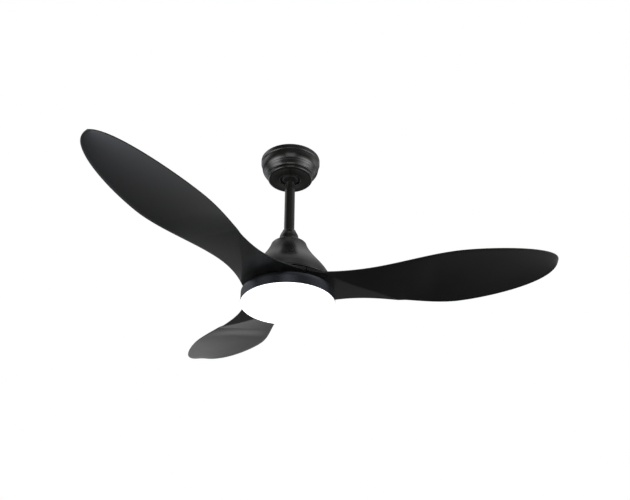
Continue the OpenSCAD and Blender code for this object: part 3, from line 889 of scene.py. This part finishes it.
    @staticmethod
    def smooth(piece: bpy.types.Object, angle: float = 32.0) -> None:
        """Shades the piece smooth up to an angle, in degrees."""
        Workshop.activate(piece)
        bpy.ops.object.shade_smooth_by_angle(angle=math.radians(angle))

    @staticmethod
    def drill(
        piece: bpy.types.Object, centres: Sequence[Vector], radius: float, length: float,
        way: Vector = UP,
    ) -> None:
        """Cuts equal round holes.

        Args:
            piece: the piece to drill.
            centres: middle of each hole, in millimetres.
            radius: radius of the holes, in millimetres.
            length: length of the cut, in millimetres.
            way: direction of the holes.
        """
        turn = way.to_track_quat("Z", "Y").to_matrix().to_4x4()
        for centre in centres:
            Workshop.clear()
            bpy.ops.mesh.primitive_cylinder_add(vertices=32, radius=radius * MM, depth=length * MM)
            cutter = bpy.context.object
            cutter.data.transform(Matrix.Translation(centre * MM) @ turn)
            Workshop.apply(piece, "BOOLEAN", object=cutter, operation="DIFFERENCE", solver="EXACT")
            bpy.data.objects.remove(cutter)

    @staticmethod
    def join(piece: bpy.types.Object, parts: Sequence[bpy.types.Object]) -> None:
        """Joins parts into one piece.

        Args:
            piece: the piece that takes the parts.
            parts: the parts to add.
        """
        Workshop.activate(piece)
        for part in parts:
            part.select_set(True)
        bpy.ops.object.join()

    @staticmethod
    def copy_round(piece: bpy.types.Object, name: str, degrees: float) -> bpy.types.Object:
        """Copies a piece and its mesh, turned round the fan's axis.

        Args:
            piece: the first of the pieces.
            name: name of the copy.
            degrees: how far the copy is turned.

        Returns:
            The copy.
        """
        made = piece.copy()
        made.data = piece.data.copy()
        made.name = made.data.name = name
        bpy.context.scene.collection.objects.link(made)
        made.data.transform(Matrix.Rotation(math.radians(degrees), 4, "Z"))
        return made


def bezier(points: Path, t: float) -> tuple[float, float]:
    """A point of a cubic curve.

    Args:
        points: the four control points.
        t: from 0 at the start to 1 at the end.

    Returns:
        The point.
    """
    weights = ((1 - t) ** 3, 3 * t * (1 - t) ** 2, 3 * t * t * (1 - t), t**3)
    return tuple(sum(w * p[k] for w, p in zip(weights, points)) for k in (0, 1))


def arc(centre: tuple[float, float], radius: float, start: float, end: float, steps: int) -> Path:
    """Points on an arc.

    Args:
        centre: middle of the arc.
        radius: its radius.
        start: first angle, in degrees.
        end: last angle.
        steps: number of steps between them.

    Returns:
        The points.
    """
    angles = [math.radians(start + (end - start) * i / steps) for i in range(steps + 1)]
    return [(centre[0] + radius * math.cos(a), centre[1] + radius * math.sin(a)) for a in angles]


def polar(radius: float, degrees: float, height: float) -> Vector:
    """A place at an angle round the fan's axis, in millimetres."""
    turn = math.radians(degrees)
    return Vector((radius * math.cos(turn), radius * math.sin(turn), height))


def smooth(t: float) -> float:
    """Eases from 0 to 1."""
    t = min(max(t, 0.0), 1.0)
    return t * t * (3 - 2 * t)


def mix(a: float, b: float, t: float) -> float:
    """A value between a and b."""
    return a + (b - a) * t


def size_of(node: str) -> tuple[float, float, float]:
    """Largest radius, lowest and highest point of a round CAD node, in millimetres."""
    low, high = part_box(node)
    return high.x / MM, low.z / MM, high.z / MM


@dataclass
class SubAssembly:
    """What every sub-assembly can do: dress its pieces and hand them over."""

    paints: Paintbox

    def deliver(
        self, piece: bpy.types.Object, body: str, slot: Slot, *nodes: str, angle: float = 32.0
    ) -> None:
        """Finishes a piece and ties it to its body.

        Args:
            piece: the finished mesh.
            body: the CAD body that it rides on.
            slot: the record's material slot.
            *nodes: the CAD nodes that it replaces.
            angle: edges flatter than this are shaded smooth, in degrees.
        """
        Workshop.smooth(piece, angle)
        piece.data.materials.clear()
        piece.data.materials.append(self.paints.material(slot))
        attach(piece, body)
        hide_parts(*nodes)
        LOG.info("%s: %d faces on %s", piece.name, len(piece.data.polygons), body)


# ---- Sub-assemblies ------------------------------------------------------------------


@dataclass
class Canopy(SubAssembly):
    """The spun canopy against the ceiling and the cap that snaps into its foot."""

    band: float = 12.0
    cap_height: float = 10.0
    wall: float = 1.2
    cap_step: float = 19.0
    screw_r: float = 2.2
    radius: float = field(init=False)
    bottom: float = field(init=False)

    def __post_init__(self) -> None:
        """Takes the sizes from the frame."""
        self.radius, _, _ = size_of("canopy")
        self.bottom = size_of("canopy_cap")[1]

    def shell(self) -> bpy.types.Object:
        """The canopy: foot, rounded shoulder with its spinning line, ledge and plain band.

        Returns:
            The finished piece.
        """
        foot = self.bottom + self.cap_height
        foot_r = self.radius - self.cap_step + 2
        curve = [
            (foot_r + 0.5, foot + 4), (foot_r + 9, foot + 15),
            (self.radius - 3, foot + 16), (self.radius - 2.5, -self.band - 2),
        ]
        shoulder = [bezier(curve, i / 28) for i in range(29)]
        lined = [(r - 0.35 * math.exp(-(((z - foot - 12.5) / 0.9) ** 2)), z) for r, z in shoulder]
        path = (
            [(foot_r - 10.5, foot), (foot_r - 6, foot)]
            + arc((foot_r - 3, foot + 3), 3, -90, -12, 6)
            + lined
            + arc((self.radius - 1.6, -self.band - 0.2), 1.0, -60, -20, 2)
            + arc((self.radius - 0.8, -self.band + 0.8), 0.8, -60, 0, 3)
            + [(self.radius, -self.band + 4), (self.radius, -0.9)]
            + arc((self.radius - 0.5, -0.5), 0.5, 0, 90, 3)
        )
        piece = Workshop.lathe("canopy_shell", path, 144)
        Workshop.sheet(piece, self.wall)
        place = self.radius - self.cap_step - 5
        centres = [Vector((side * place, 0, foot)) for side in (-1, 1)]
        Workshop.drill(piece, centres, self.screw_r, 8)
        return piece

    def cap(self) -> bpy.types.Object:
        """The cap: rolled rim round the rod's hole, flat bottom, rounded edge and spigot.

        Returns:
            The finished piece.
        """
        cap_r = self.radius - self.cap_step
        hole_r = size_of("downrod")[0] + 13.6
        base, top = self.bottom, self.bottom + self.cap_height
        turn = self.cap_height - 4
        path = (
            [(hole_r + 0.6, base + 2.2)]
            + arc((hole_r + 1.6, base + 1.4), 1.4, 180, 270, 4)
            + [(hole_r + 3.4, base), (hole_r + 4.4, base + 0.25), (cap_r - turn - 1, base + 0.15)]
            + arc((cap_r - turn, base + turn), turn, -88, 0, 10)
            + [(cap_r, top - 1.5)]
        )
        piece = Workshop.lathe("canopy_cap_shell", path, 128)
        Workshop.sheet(piece, self.wall)
        outer = cap_r + 2 - 10.5 - 0.2
        rings = [
            (outer, base + 0.8), (outer, top + 1), (outer - self.wall, top + 1),
            (outer - self.wall, base + 0.8),
        ]
        spigot = Workshop.lathe("canopy_cap_spigot", rings, 96, closed=True)
        Workshop.join(piece, [spigot])
        return piece

    def build(self) -> None:
        """Makes both pieces."""
        self.deliver(self.shell(), "ceiling_mount", Slot.black_metal, "canopy")
        # the cap takes the darker copy of the canopy paint: painted shade
        self.deliver(self.cap(), "ceiling_mount", Slot.cap_metal, "canopy_cap")


@dataclass
class Downrod(SubAssembly):
    """The steel tube that carries the motor, with a hole for each pin."""

    wall: float = 2.2
    chamfer: float = 0.6
    end_band: float = 60.0
    ball_pin_r: float = 3.05
    clevis_r: float = 4.05

    def tube(self) -> bpy.types.Object:
        """The tube with its ends chamfered.

        Returns:
            The finished piece.
        """
        radius, low, high = size_of("downrod")
        inner, cut = radius - self.wall, self.chamfer
        along = [low + self.end_band, (low + high) / 2, high - self.end_band]
        path = (
            [(inner, low + cut), (inner + cut, low), (radius - cut, low), (radius, low + cut)]
            + [(radius, z) for z in along]
            + [(radius, high - cut), (radius - cut, high), (inner + cut, high), (inner, high - cut)]
            + [(inner, z) for z in reversed(along)]
        )
        piece = Workshop.lathe("downrod_tube", path, 96, closed=True)
        pins = (("ball_pin", self.ball_pin_r), ("yoke_clevis_pin", self.clevis_r))
        for node, hole_r in pins:
            centre = UP * sum(corner.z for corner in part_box(node)) / 2 / MM
            Workshop.drill(piece, [centre], hole_r, 2 * radius + 6, Vector((1, 0, 0)))
        return piece

    def build(self) -> None:
        """Makes the tube."""
        self.deliver(self.tube(), "hanger", Slot.black_metal, "downrod")


@dataclass
class Housing(SubAssembly):
    """The bell-shaped motor housing and the cover over the coupling."""

    neck_r: float = 46.0
    shoulder_r: float = 6.0
    wall: float = 1.6
    cover_r: float = 27.55
    cover_waist: float = 24.15
    rod_r: float = 13.35
    screw_out: float = 8.6
    screw_r: float = 2.0

    def bell(self) -> bpy.types.Object:
        """The bell: rolled rim, long curve, rounded shoulder and flat top.

        Returns:
            The finished piece.
        """
        rim_r, low, high = size_of("motor_housing")
        bend = self.shoulder_r
        tall = high - low - bend
        curve = [
            (rim_r, low + 2), (rim_r - 11, low + 0.41 * tall),
            (self.neck_r + 18, low + 0.58 * tall), (self.neck_r, high - bend),
        ]
        rolled = arc((rim_r - 1.6, low + 1.5), 1.5, -170, 0, 8)
        path = (
            rolled
            + [bezier(curve, i / 44) for i in range(1, 45)]
            + arc((self.neck_r - bend, high - bend), bend, 6, 90, 10)
            + [(32, high), (self.rod_r + 5.2, high), (self.rod_r + 5, high - 1.2)]
        )
        piece = Workshop.lathe("motor_bell", path, 176)
        Workshop.sheet(piece, self.wall, 0.3)
        centres = [polar(self.rod_r + self.screw_out, 30 + 120 * k, high) for k in range(3)]
        Workshop.drill(piece, centres, self.screw_r, 8)
        return piece

    def cover(self) -> bpy.types.Object:
        """The cover: a small foot, a waist and a taper up to the rod.

        Returns:
            The finished piece.
        """
        _, low, high = size_of("coupling_cover")
        base = low - 0.1
        tall = high - base
        lower = [
            (self.cover_r - 0.2, base + 2.0), (self.cover_waist, base + 7),
            (self.cover_waist, base + 12), (self.cover_waist, base + tall / 2),
        ]
        upper = [
            (self.cover_waist, base + tall / 2), (self.cover_waist - 0.5, high - 12),
            (self.rod_r + 6, high - 8), (self.rod_r + 3.6, high - 0.8),
        ]
        path = (
            [(self.cover_r, low), (self.cover_r, base + 1.4)]
            + [bezier(lower, i / 16) for i in range(17)]
            + [bezier(upper, i / 18) for i in range(1, 19)]
            + arc((self.rod_r + 2.8, high - 0.8), 0.8, 20, 90, 3)
            + [(self.rod_r + 0.5, high)]
        )
        piece = Workshop.lathe("coupling_cover_shell", path, 128)
        Workshop.sheet(piece, 1.2, 0.15)
        return piece

    def build(self) -> None:
        """Makes both shells."""
        self.deliver(self.bell(), "hanger", Slot.black_metal, "motor_housing")
        self.deliver(self.cover(), "hanger", Slot.black_metal, "coupling_cover")


@dataclass
class BladeSet(SubAssembly):
    """Three equal blades whose roots meet round the rotor."""

    directions: tuple[float, float, float] = (-6.7, 113.3, 233.3)
    span: float = 1320.0
    waist_w: float = 121.0
    waist_at: float = 180.0
    belly_w: float = 199.0
    tip_len: float = 240.0
    pitch: float = 9.5
    rise: float = 5.0
    tip_lean: float = 8.0
    camber: float = 6.0
    edge_t: float = 2.4
    middle_t: float = 6.0
    pad_t: float = 8.0
    pad_slope: float = 0.03
    tip_t: float = 3.6
    lead_rise: float = 15.0
    dip_from: float = 200.0
    dip: float = 3.5
    twist_to: float = 290.0
    root_twist: float = 0.9
    camber_run: float = 80.0
    hub_rows: tuple[float, ...] = (58.0, 72.0, 86.0, 96.0)
    bay_turn: tuple[float, float] = (29.8, 0.5)
    bay_rows: int = 26
    plain_rows: int = 56
    screws_at: float = 82.0
    screw_r: float = 2.9
    seam: float = 0.4
    crease_w: float = 1.6
    edge_round: float = 1.3
    half_columns: int = 17

    def __post_init__(self) -> None:
        """Works out the outline's fixed points."""
        self.tip_r = self.span / 2
        self.belly_at = self.tip_r - self.tip_len
        self.waist_h = self.waist_w / 2
        self.bay_r = self.waist_at * math.tan(math.radians(60)) - self.waist_h
        self.root_r = 2 * self.waist_at - self.bay_r
        self.pad_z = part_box("blade_washers")[1].z / MM
        self.slope = math.tan(math.radians(self.pitch))
        self.climb = math.tan(math.radians(self.rise))

    def half_width(self, u: float) -> float:
        """Half the blade's width, beyond the waist.

        Args:
            u: distance from the axis, in millimetres.

        Returns:
            Half the width, in millimetres.
        """
        if u < self.belly_at:
            t = smooth((u - self.waist_at) / (self.belly_at - self.waist_at))
            return mix(self.waist_h, self.belly_w / 2, t)
        run = min((u - self.belly_at) / self.tip_len, 1.0)
        return self.belly_w / 2 * max(1 - run**1.6, 0.0) ** 0.435

    def lean(self, u: float) -> float:
        """How far the blade's middle line has swung towards the trailing edge."""
        return self.tip_lean * (max(u - self.waist_at, 0.0) / (self.tip_r - self.waist_at)) ** 2

    def main_height(self, u: float, v: float, half: float) -> float:
        """Height of the pitched underside, with its slight hollow.

        Args:
            u: distance along the blade.
            v: distance across, from its middle.
            half: half the width.

        Returns:
            The height above the ceiling plane, which is negative.
        """
        lead = self.pad_z + self.lead_rise + self.climb * (u - self.dip_from)
        if u < self.dip_from:
            lead -= self.dip * ((self.dip_from - u) / 100) ** 2
        cross = self.slope * (1 + self.root_twist * max(0.0, (self.twist_to - u) / 190))
        hollow = self.camber * half / (self.belly_w / 2) * (1 - (v / max(half, 1.0)) ** 2)
        hollow *= smooth((u - self.twist_to) / self.camber_run)
        return lead - cross * (v + half) + hollow

    def facet_height(self, u: float) -> float:
        """Height of the level face at the root."""
        return self.pad_z - self.pad_slope * max(0.0, u - 95)

    def underside(self, u: float, v: float, half: float) -> float:
        """The higher of the two faces, with their corner eased."""
        a, b = self.main_height(u, v, half), self.facet_height(u)
        return (a + b + math.sqrt((a - b) ** 2 + 0.25)) / 2

    def thickness(self, u: float, side: float) -> float:
        """Thickness at one place of the blade.

        Args:
            u: distance from the axis, in millimetres.
            side: place across the blade, from -1 to 1.

        Returns:
            The thickness, in millimetres.
        """
        middle = mix(self.pad_t, self.middle_t, smooth((u - self.root_r) / 120))
        edge = mix(self.pad_t, self.edge_t, smooth((u - self.root_r / 2) / 40))
        middle = mix(middle, self.tip_t, smooth((u - self.belly_at) / self.tip_len))
        return edge + (middle - edge) * max(1 - side * side, 0.0) ** 0.6

    def columns(self, crease: float, half: float) -> list[float]:
        """Places across one row, closer together at both edges and at the crease.

        Args:
            crease: where the crease crosses the row, from -1 to 1.
            half: half the row's width.

        Returns:
            The places, from -1 to 1.
        """
        share = min(self.edge_round / half, 0.2)
        rim = [0.0, 0.15 * share, 0.5 * share, share]
        crease = min(max(crease, -0.9), 0.9)
        gap = min(self.crease_w / half, 0.03)
        left = [-1 + r for r in rim]
        right = [1 - r for r in reversed(rim)]
        n = self.half_columns
        first = [mix(left[-1], crease - gap, (i + 1) / n) for i in range(n)]
        last = [mix(crease + gap, right[0], i / n) for i in range(n)]
        return left + first + [crease] + last + right

    def row_point(self, kind: str, at: float, side: float) -> tuple[float, float]:
        """A place on one row.

        Args:
            kind: "hub", "bay" or "open".
            at: the row's radius, angle or distance.
            side: place across it, from -1 to 1.

        Returns:
            Distance along and across the blade.
        """
        if kind == "hub":
            a = math.radians((60 - math.degrees(self.seam / at)) * side)
            return at * math.cos(a), at * math.sin(a)
        if kind == "bay":
            a = math.radians(at)
            u = self.waist_at - self.bay_r * math.sin(a)
            half = self.waist_h + self.bay_r * (1 - math.cos(a))
            bow = 2 * a
            curve = half / math.sin(bow)
            return u + curve * (math.cos(bow * side) - math.cos(bow)), curve * math.sin(bow * side)
        half = max(self.half_width(at), 0.8)
        return at, self.lean(at) + half * side

    def row(self, kind: str, at: float) -> Ring:
        """The ring of points round one row: underside first, then the top side back.

        Args:
            kind: "hub", "bay" or "open".
            at: the row's radius, angle or distance.

        Returns:
            The points, in millimetres.
        """
        ends = [self.row_point(kind, at, s) for s in (-1, 1)]
        half = (ends[1][1] - ends[0][1]) / 2
        middle = (ends[1][1] + ends[0][1]) / 2

        def gap(side: float) -> float:
            """How far the pitched face lies above the level one at this place across."""
            u, v = self.row_point(kind, at, side)
            return self.main_height(u, v - middle, half) - self.facet_height(u)

        low, high = -1.0, 1.0
        if gap(high) > 0:
            low = high
        for _ in range(24):
            centre = (low + high) / 2
            low, high = (centre, high) if gap(centre) > 0 else (low, centre)
        crease = -0.9 if kind == "hub" else low
        under, over = [], []
        share = min(self.edge_round / half, 0.2)
        for side in self.columns(crease, half):
            u, v = self.row_point(kind, at, side)
            if kind == "hub":
                z, deep = self.pad_z, self.pad_t
            else:
                z, deep = self.underside(u, v - middle, half), self.thickness(u, side)
            near = min((1 - abs(side)) / share, 1.0)
            roundness = math.sqrt(max(1 - (1 - near) ** 2, 0.0))
            squeeze = (1 - roundness) * min(deep, self.edge_round * 2) / 2
            if kind == "hub":
                squeeze *= 0.5
            under.append((u, v, z + squeeze))
            over.append((u, v, z + deep - squeeze))
        return under + over[::-1]

    def rows(self) -> list[Ring]:
        """All rows, from the root to the tip.

        Returns:
            The rings of points, in millimetres.
        """
        hub = [("hub", r) for r in self.hub_rows]
        bays, plains = self.bay_rows, self.plain_rows
        bay = [("bay", mix(*self.bay_turn, i / bays)) for i in range(bays + 1)]
        reach = self.belly_at - self.waist_at
        plain = [("open", self.waist_at + reach * i / plains) for i in range(1, plains + 1)]
        tip = [
            ("open", self.belly_at + self.tip_len * math.sin(math.radians(90 * i / bays)))
            for i in range(1, bays + 1)
        ]
        return [self.row(kind, at) for kind, at in hub + bay + plain + tip]

    def blade(self) -> bpy.types.Object:
        """One blade along +X, laid over its rows in mesh code: no operator gives this surface.

        Returns:
            The blade, with its three screw holes.
        """
        mesh = bpy.data.meshes.new("blade_right")
        self.loft(mesh)
        piece = bpy.data.objects.new("blade_right", mesh)
        bpy.context.scene.collection.objects.link(piece)
        Workshop.weld(piece, 2e-6)
        centres = [polar(self.screws_at, a, self.pad_z + self.pad_t / 2) for a in (-30, 0, 30)]
        Workshop.drill(piece, centres, self.screw_r, 24)
        return piece

    def loft(self, mesh: bpy.types.Mesh) -> None:
        """Lays a skin over the rows and closes both ends.

        Args:
            mesh: the mesh that takes the skin.
        """
        skin = bmesh.new()
        rings = [[skin.verts.new(Vector(p) * MM) for p in row] for row in self.rows()]
        for one, two in zip(rings, rings[1:]):
            count = len(one)
            for i in range(count):
                j = (i + 1) % count
                skin.faces.new((one[i], one[j], two[j], two[i]))
        for ring in (rings[0], rings[-1]):
            half = len(ring) // 2
            for i in range(half - 1):
                skin.faces.new((ring[i], ring[i + 1], ring[-2 - i], ring[-1 - i]))
        bmesh.ops.recalc_face_normals(skin, faces=skin.faces)
        skin.to_mesh(mesh)
        skin.free()

    def build(self) -> None:
        """Makes one blade and copies it to the other two places."""
        first = self.blade()
        names = ("blade_right", "blade_far", "blade_left")
        turns = dict(zip(names, self.directions))
        copies = [Workshop.copy_round(first, name, turns[name]) for name in names[1:]]
        first.data.transform(Matrix.Rotation(math.radians(turns[names[0]]), 4, "Z"))
        for index, piece in enumerate([first, *copies], 1):
            self.deliver(piece, "rotor", Slot.blade_plastic, f"blade_{index}", angle=40.0)


@dataclass
class LightRing(SubAssembly):
    """The light's metal ring with its top plate, posts and tabs."""

    wall: float = 1.6
    post_r: float = 4.0
    hole_r: float = 14.0
    screws_at: float = 40.0
    screw_r: float = 2.2

    def ring(self) -> bpy.types.Object:
        """Side wall and top plate in one spun piece, with eased edges.

        Returns:
            The ring.
        """
        radius, low, high = size_of("light_pan")
        inner, plate = radius - self.wall, high - self.wall
        path = [
            (inner, low + 0.2), (radius - 0.3, low), (radius, low + 0.3), (radius, low + 9),
            (radius, high - 9), (radius, high - 1.2), (radius - 0.35, high - 0.35),
            (radius - 1.2, high), (radius * 0.6, high), (self.hole_r, high),
            (self.hole_r, plate), (radius * 0.6, plate), (inner - 0.8, plate),
            (inner, plate - 0.8), (inner, low + 9),
        ]
        return Workshop.lathe("light_ring", path, 176, closed=True)

    def posts(self) -> list[bpy.types.Object]:
        """Four hollow posts for the LED board.

        Returns:
            The posts.
        """
        board_r, _, base = size_of("led_board")
        top = size_of("light_pan")[2] - self.wall + 0.1
        rings = [
            (1.5, base), (self.post_r - 0.4, base), (self.post_r, base + 0.4),
            (self.post_r, top), (1.5, top),
        ]
        first = Workshop.lathe("board_post", rings, 32, closed=True)
        first.data.transform(Matrix.Translation(Vector((board_r - 10, 0, 0)) * MM))
        made = [Workshop.copy_round(first, f"board_post_{k}", 45 + 90 * k) for k in range(4)]
        bpy.data.objects.remove(first)
        return made

    def tabs(self) -> list[bpy.types.Object]:
        """Three tabs that the diffuser's lugs rest on.

        Returns:
            The tabs.
        """
        radius, low, _ = size_of("light_pan")
        place = (radius - self.wall - 0.75, 0, low + 3.5)
        return Workshop.blocks_round("ring_tab", (2.5, 24, 2), place)

    def build(self) -> None:
        """Makes the ring with all that is fixed to it."""
        piece = self.ring()
        top = size_of("light_pan")[2]
        centres = [polar(self.screws_at, 30 + 120 * k, top - 0.8) for k in range(3)]
        Workshop.drill(piece, centres, self.screw_r, 8)
        Workshop.join(piece, self.posts() + self.tabs())
        self.deliver(piece, "hanger", Slot.ring_metal, "light_pan")


@dataclass
class Diffuser(SubAssembly):
    """The shallow opal dome with its skirt and three lugs."""

    wall: float = 2.0
    dome: float = 16.0
    skirt_in: float = 2.6
    pan_wall: float = 1.6

    def cover(self) -> bpy.types.Object:
        """Dome, rim and skirt in one moulding.

        Returns:
            The cover.
        """
        radius, low, high = size_of("diffuser")
        rim = low + self.dome + 2
        ball = (radius**2 + self.dome**2) / (2 * self.dome)
        reach = math.asin(radius / ball)
        outer = [
            (ball * math.sin(reach * k / 30), low + ball * (1 - math.cos(reach * k / 30)))
            for k in range(30, 0, -1)
        ]
        inner = [(r * 0.965, z + self.wall) for r, z in outer]
        skirt = size_of("light_pan")[0] - self.pan_wall - self.skirt_in
        outside = [(skirt, rim), (radius - 0.4, rim), (radius, rim - 0.4), *outer, (0.0, low)]
        inside = [
            (skirt, rim), (skirt, high - 0.3), (skirt - 0.3, high), (skirt - self.wall, high),
            (skirt - self.wall, rim), *inner, (0.0, low + self.wall),
        ]
        shell = Workshop.lathe("diffuser_dome", outside, 160)
        lining = Workshop.lathe("diffuser_inside", inside, 160)
        Workshop.join(shell, [lining])
        Workshop.weld(shell, 1e-5)
        return shell

    def lugs(self) -> list[bpy.types.Object]:
        """Three lugs on the skirt.

        Returns:
            The lugs.
        """
        pan_r, pan_low, _ = size_of("light_pan")
        place = (pan_r - self.pan_wall - 1.9, 0, pan_low + 5.7)
        return Workshop.blocks_round("diffuser_lug", (2, 18, 2), place)

    def build(self) -> None:
        """Makes the cover with its lugs."""
        piece = self.cover()
        Workshop.join(piece, self.lugs())
        self.deliver(piece, "diffuser_cover", Slot.opal_plastic, "diffuser", angle=40.0)


@dataclass
class Hardware(SubAssembly):
    """The CAD nodes that stay: brackets, motor, bearings, screws and the LED parts."""

    def build(self) -> None:
        """Gives each node the finish of its slot in the record."""
        replaced = {
            "canopy", "canopy_cap", "downrod", "coupling_cover", "motor_housing",
            "blade_1", "blade_2", "blade_3", "light_pan", "diffuser",
        }
        for row in frame["record"]["subparts"]:
            node = row["node"]
            if node in replaced:
                continue
            made = self.paints.material(Slot[row["material_slot"]])
            mesh = frame["nodes"][node].data
            mesh.materials.clear()
            mesh.materials.append(made)
            LOG.info("%s: %s", node, made.name)


# ---- Studio ------------------------------------------------------------------------------


def direction(turn: float, lift: float) -> tuple[float, float, float]:
    """A direction in the studio.

    Args:
        turn: degrees from behind the fan towards the right.
        lift: degrees above the horizon.

    Returns:
        The unit vector.
    """
    a, b = math.radians(turn), math.radians(lift)
    return math.cos(b) * math.sin(a), math.cos(b) * math.cos(a), math.sin(b)


@dataclass(frozen=True)
class Pool:
    """A soft pool of light in the surround."""

    turn: float
    lift: float
    level: float
    tightness: float = 24.0
    coolness: float = 0.0


@dataclass
class Studio:
    """Pale floor, soft boxes, a gentle surround and the camera."""

    pools: tuple[Pool, ...] = (
        Pool(-128, -21, 3.4), Pool(-104, -19, 2.6), Pool(106, -20, 3.3), Pool(130, -21, 1.6),
        Pool(-75, 45, 1.34), Pool(75, 15, 0.98), Pool(105, 45, 0.51), Pool(135, 45, 0.2),
        Pool(180, 60, 0.42), Pool(0, 55, 0.85), Pool(0, 85, 0.42), Pool(60, 65, 0.37),
        Pool(-45, 30, 0.3), Pool(45, 30, 0.3),
        Pool(-44, -14, 2.49, 36, 1.0), Pool(44, -14, 1.8, 36), Pool(0, 6, 1.06, 36),
        Pool(-22, 6, 0.7, 36), Pool(0, -14, 0.18, 36), Pool(0, -32, 0.115, 36),
    )
    base_level: float = 0.004
    cool_light: Color = (0.88, 0.94, 1.15)
    box_size: tuple[float, float] = (1.4, 1.6)
    box_distance: float = 2.3
    aim: tuple[float, float, float] = (0.0, 0.0, -0.3)
    floor_z: float = -2.4
    focal_px: float = 769.0
    frame_px: tuple[int, int] = (630, 500)
    principal_px: tuple[float, float] = (294.8, 253.6)
    place: tuple[float, float, float] = (0.0, -1.692, -1.256)
    yaw: float = 0.525
    elevation: float = 29.785
    roll: float = -0.904

    def floor(self) -> None:
        """A wide pale floor, well below the fan."""
        Workshop.clear()
        bpy.ops.mesh.primitive_plane_add(size=14, location=(0, 0, self.floor_z))
        floor = bpy.context.object
        floor.name = "studio_floor"
        finish = PaleFloor("pale_floor", (0.82, 0.82, 0.81), 0.6)
        floor.data.materials.append(finish.material())
        floor.visible_glossy = floor.visible_diffuse = floor.visible_shadow = False

    def surround(self) -> None:
        """A surround that is white to the eye and holds soft pools of light for the finishes."""
        world = bpy.data.worlds.new("studio_surround")
        bpy.context.scene.world = world
        world.use_nodes = True
        recipe = Recipe(world.node_tree)
        way = recipe.node("ShaderNodeTexCoord", output="Generated")
        level, coolness = self.base_level, 0.0
        for pool in self.pools:
            toward = recipe.node(
                "ShaderNodeVectorMath", {"operation": "DOT_PRODUCT"},
                {0: way, 1: direction(pool.turn, pool.lift)}, "Value",
            )
            spread = ((toward - 1) * pool.tightness).exponential()
            level = spread * pool.level + level
            if pool.coolness:
                coolness = spread * pool.coolness + coolness
        unseen = 1 - recipe.node("ShaderNodeLightPath", {}, {}, "Is Camera Ray")
        tint = recipe.between(coolness * unseen, (1, 1, 1), self.cool_light)
        strength = 1 - unseen + unseen * level
        shader = recipe.node("ShaderNodeBackground", {}, {"Color": tint, "Strength": strength})
        recipe.node("ShaderNodeOutputWorld", {}, {"Surface": shader})

    def soft_box(self, name: str, turn: float, lift: float, watts: float) -> None:
        """Adds one soft box that faces the fan.

        Args:
            name: its name.
            turn: its direction from behind the fan towards the right, in degrees.
            lift: its height above the fan, in degrees.
            watts: its power.
        """
        data = bpy.data.lights.new(name, "AREA")
        data.shape = "RECTANGLE"
        data.size, data.size_y = self.box_size
        data.energy = watts
        lamp = bpy.data.objects.new(name, data)
        bpy.context.scene.collection.objects.link(lamp)
        away = Vector(direction(turn, lift))
        lamp.location = Vector(self.aim) + self.box_distance * away
        lamp.rotation_mode = "QUATERNION"
        lamp.rotation_quaternion = (-away).to_track_quat("-Z", "Y")
        lamp.visible_camera = False

    def lights(self) -> None:
        """A box before the fan and one at its right."""
        self.soft_box("box_front", 180, 0, 7.8)
        self.soft_box("box_right", 90, -25, 5.8)

    def camera(self) -> None:
        """The camera, below the fan and looking up at it."""
        yaw, roll = math.radians(self.yaw), math.radians(self.roll)
        ahead = Vector(direction(self.yaw, self.elevation))
        right = Vector((math.cos(yaw), -math.sin(yaw), 0))
        down = ahead.cross(right)
        right = math.cos(roll) * right + math.sin(roll) * down
        down = ahead.cross(right)
        turn = Matrix((right, -down, -ahead)).transposed().to_4x4()
        data = bpy.data.cameras.new("camera")
        data.sensor_fit = "HORIZONTAL"
        data.sensor_width = 36
        width, height = self.frame_px
        data.lens = self.focal_px / width * data.sensor_width
        data.shift_x = (width / 2 - self.principal_px[0]) / width
        data.shift_y = (self.principal_px[1] - height / 2) / width
        camera = bpy.data.objects.new("camera", data)
        camera.matrix_world = Matrix.Translation(self.place) @ turn
        bpy.context.scene.collection.objects.link(camera)
        bpy.context.scene.camera = camera

    def build(self) -> None:
        """Sets up the whole studio."""
        bpy.context.scene.view_settings.view_transform = "Standard"
        self.floor()
        self.surround()
        self.lights()
        self.camera()
        LOG.info("studio ready")


def main() -> None:
    """Builds every sub-assembly round the frame, then the studio."""
    logging.basicConfig(level=logging.INFO, format="%(name)s: %(message)s")
    paints = Paintbox()
    for part in (
        Canopy(paints), Downrod(paints), Housing(paints), BladeSet(paints),
        LightRing(paints), Diffuser(paints), Hardware(paints), Studio(),
    ):
        part.build()
        LOG.info("%s done", type(part).__name__)


if __name__ == "__main__":
    main()
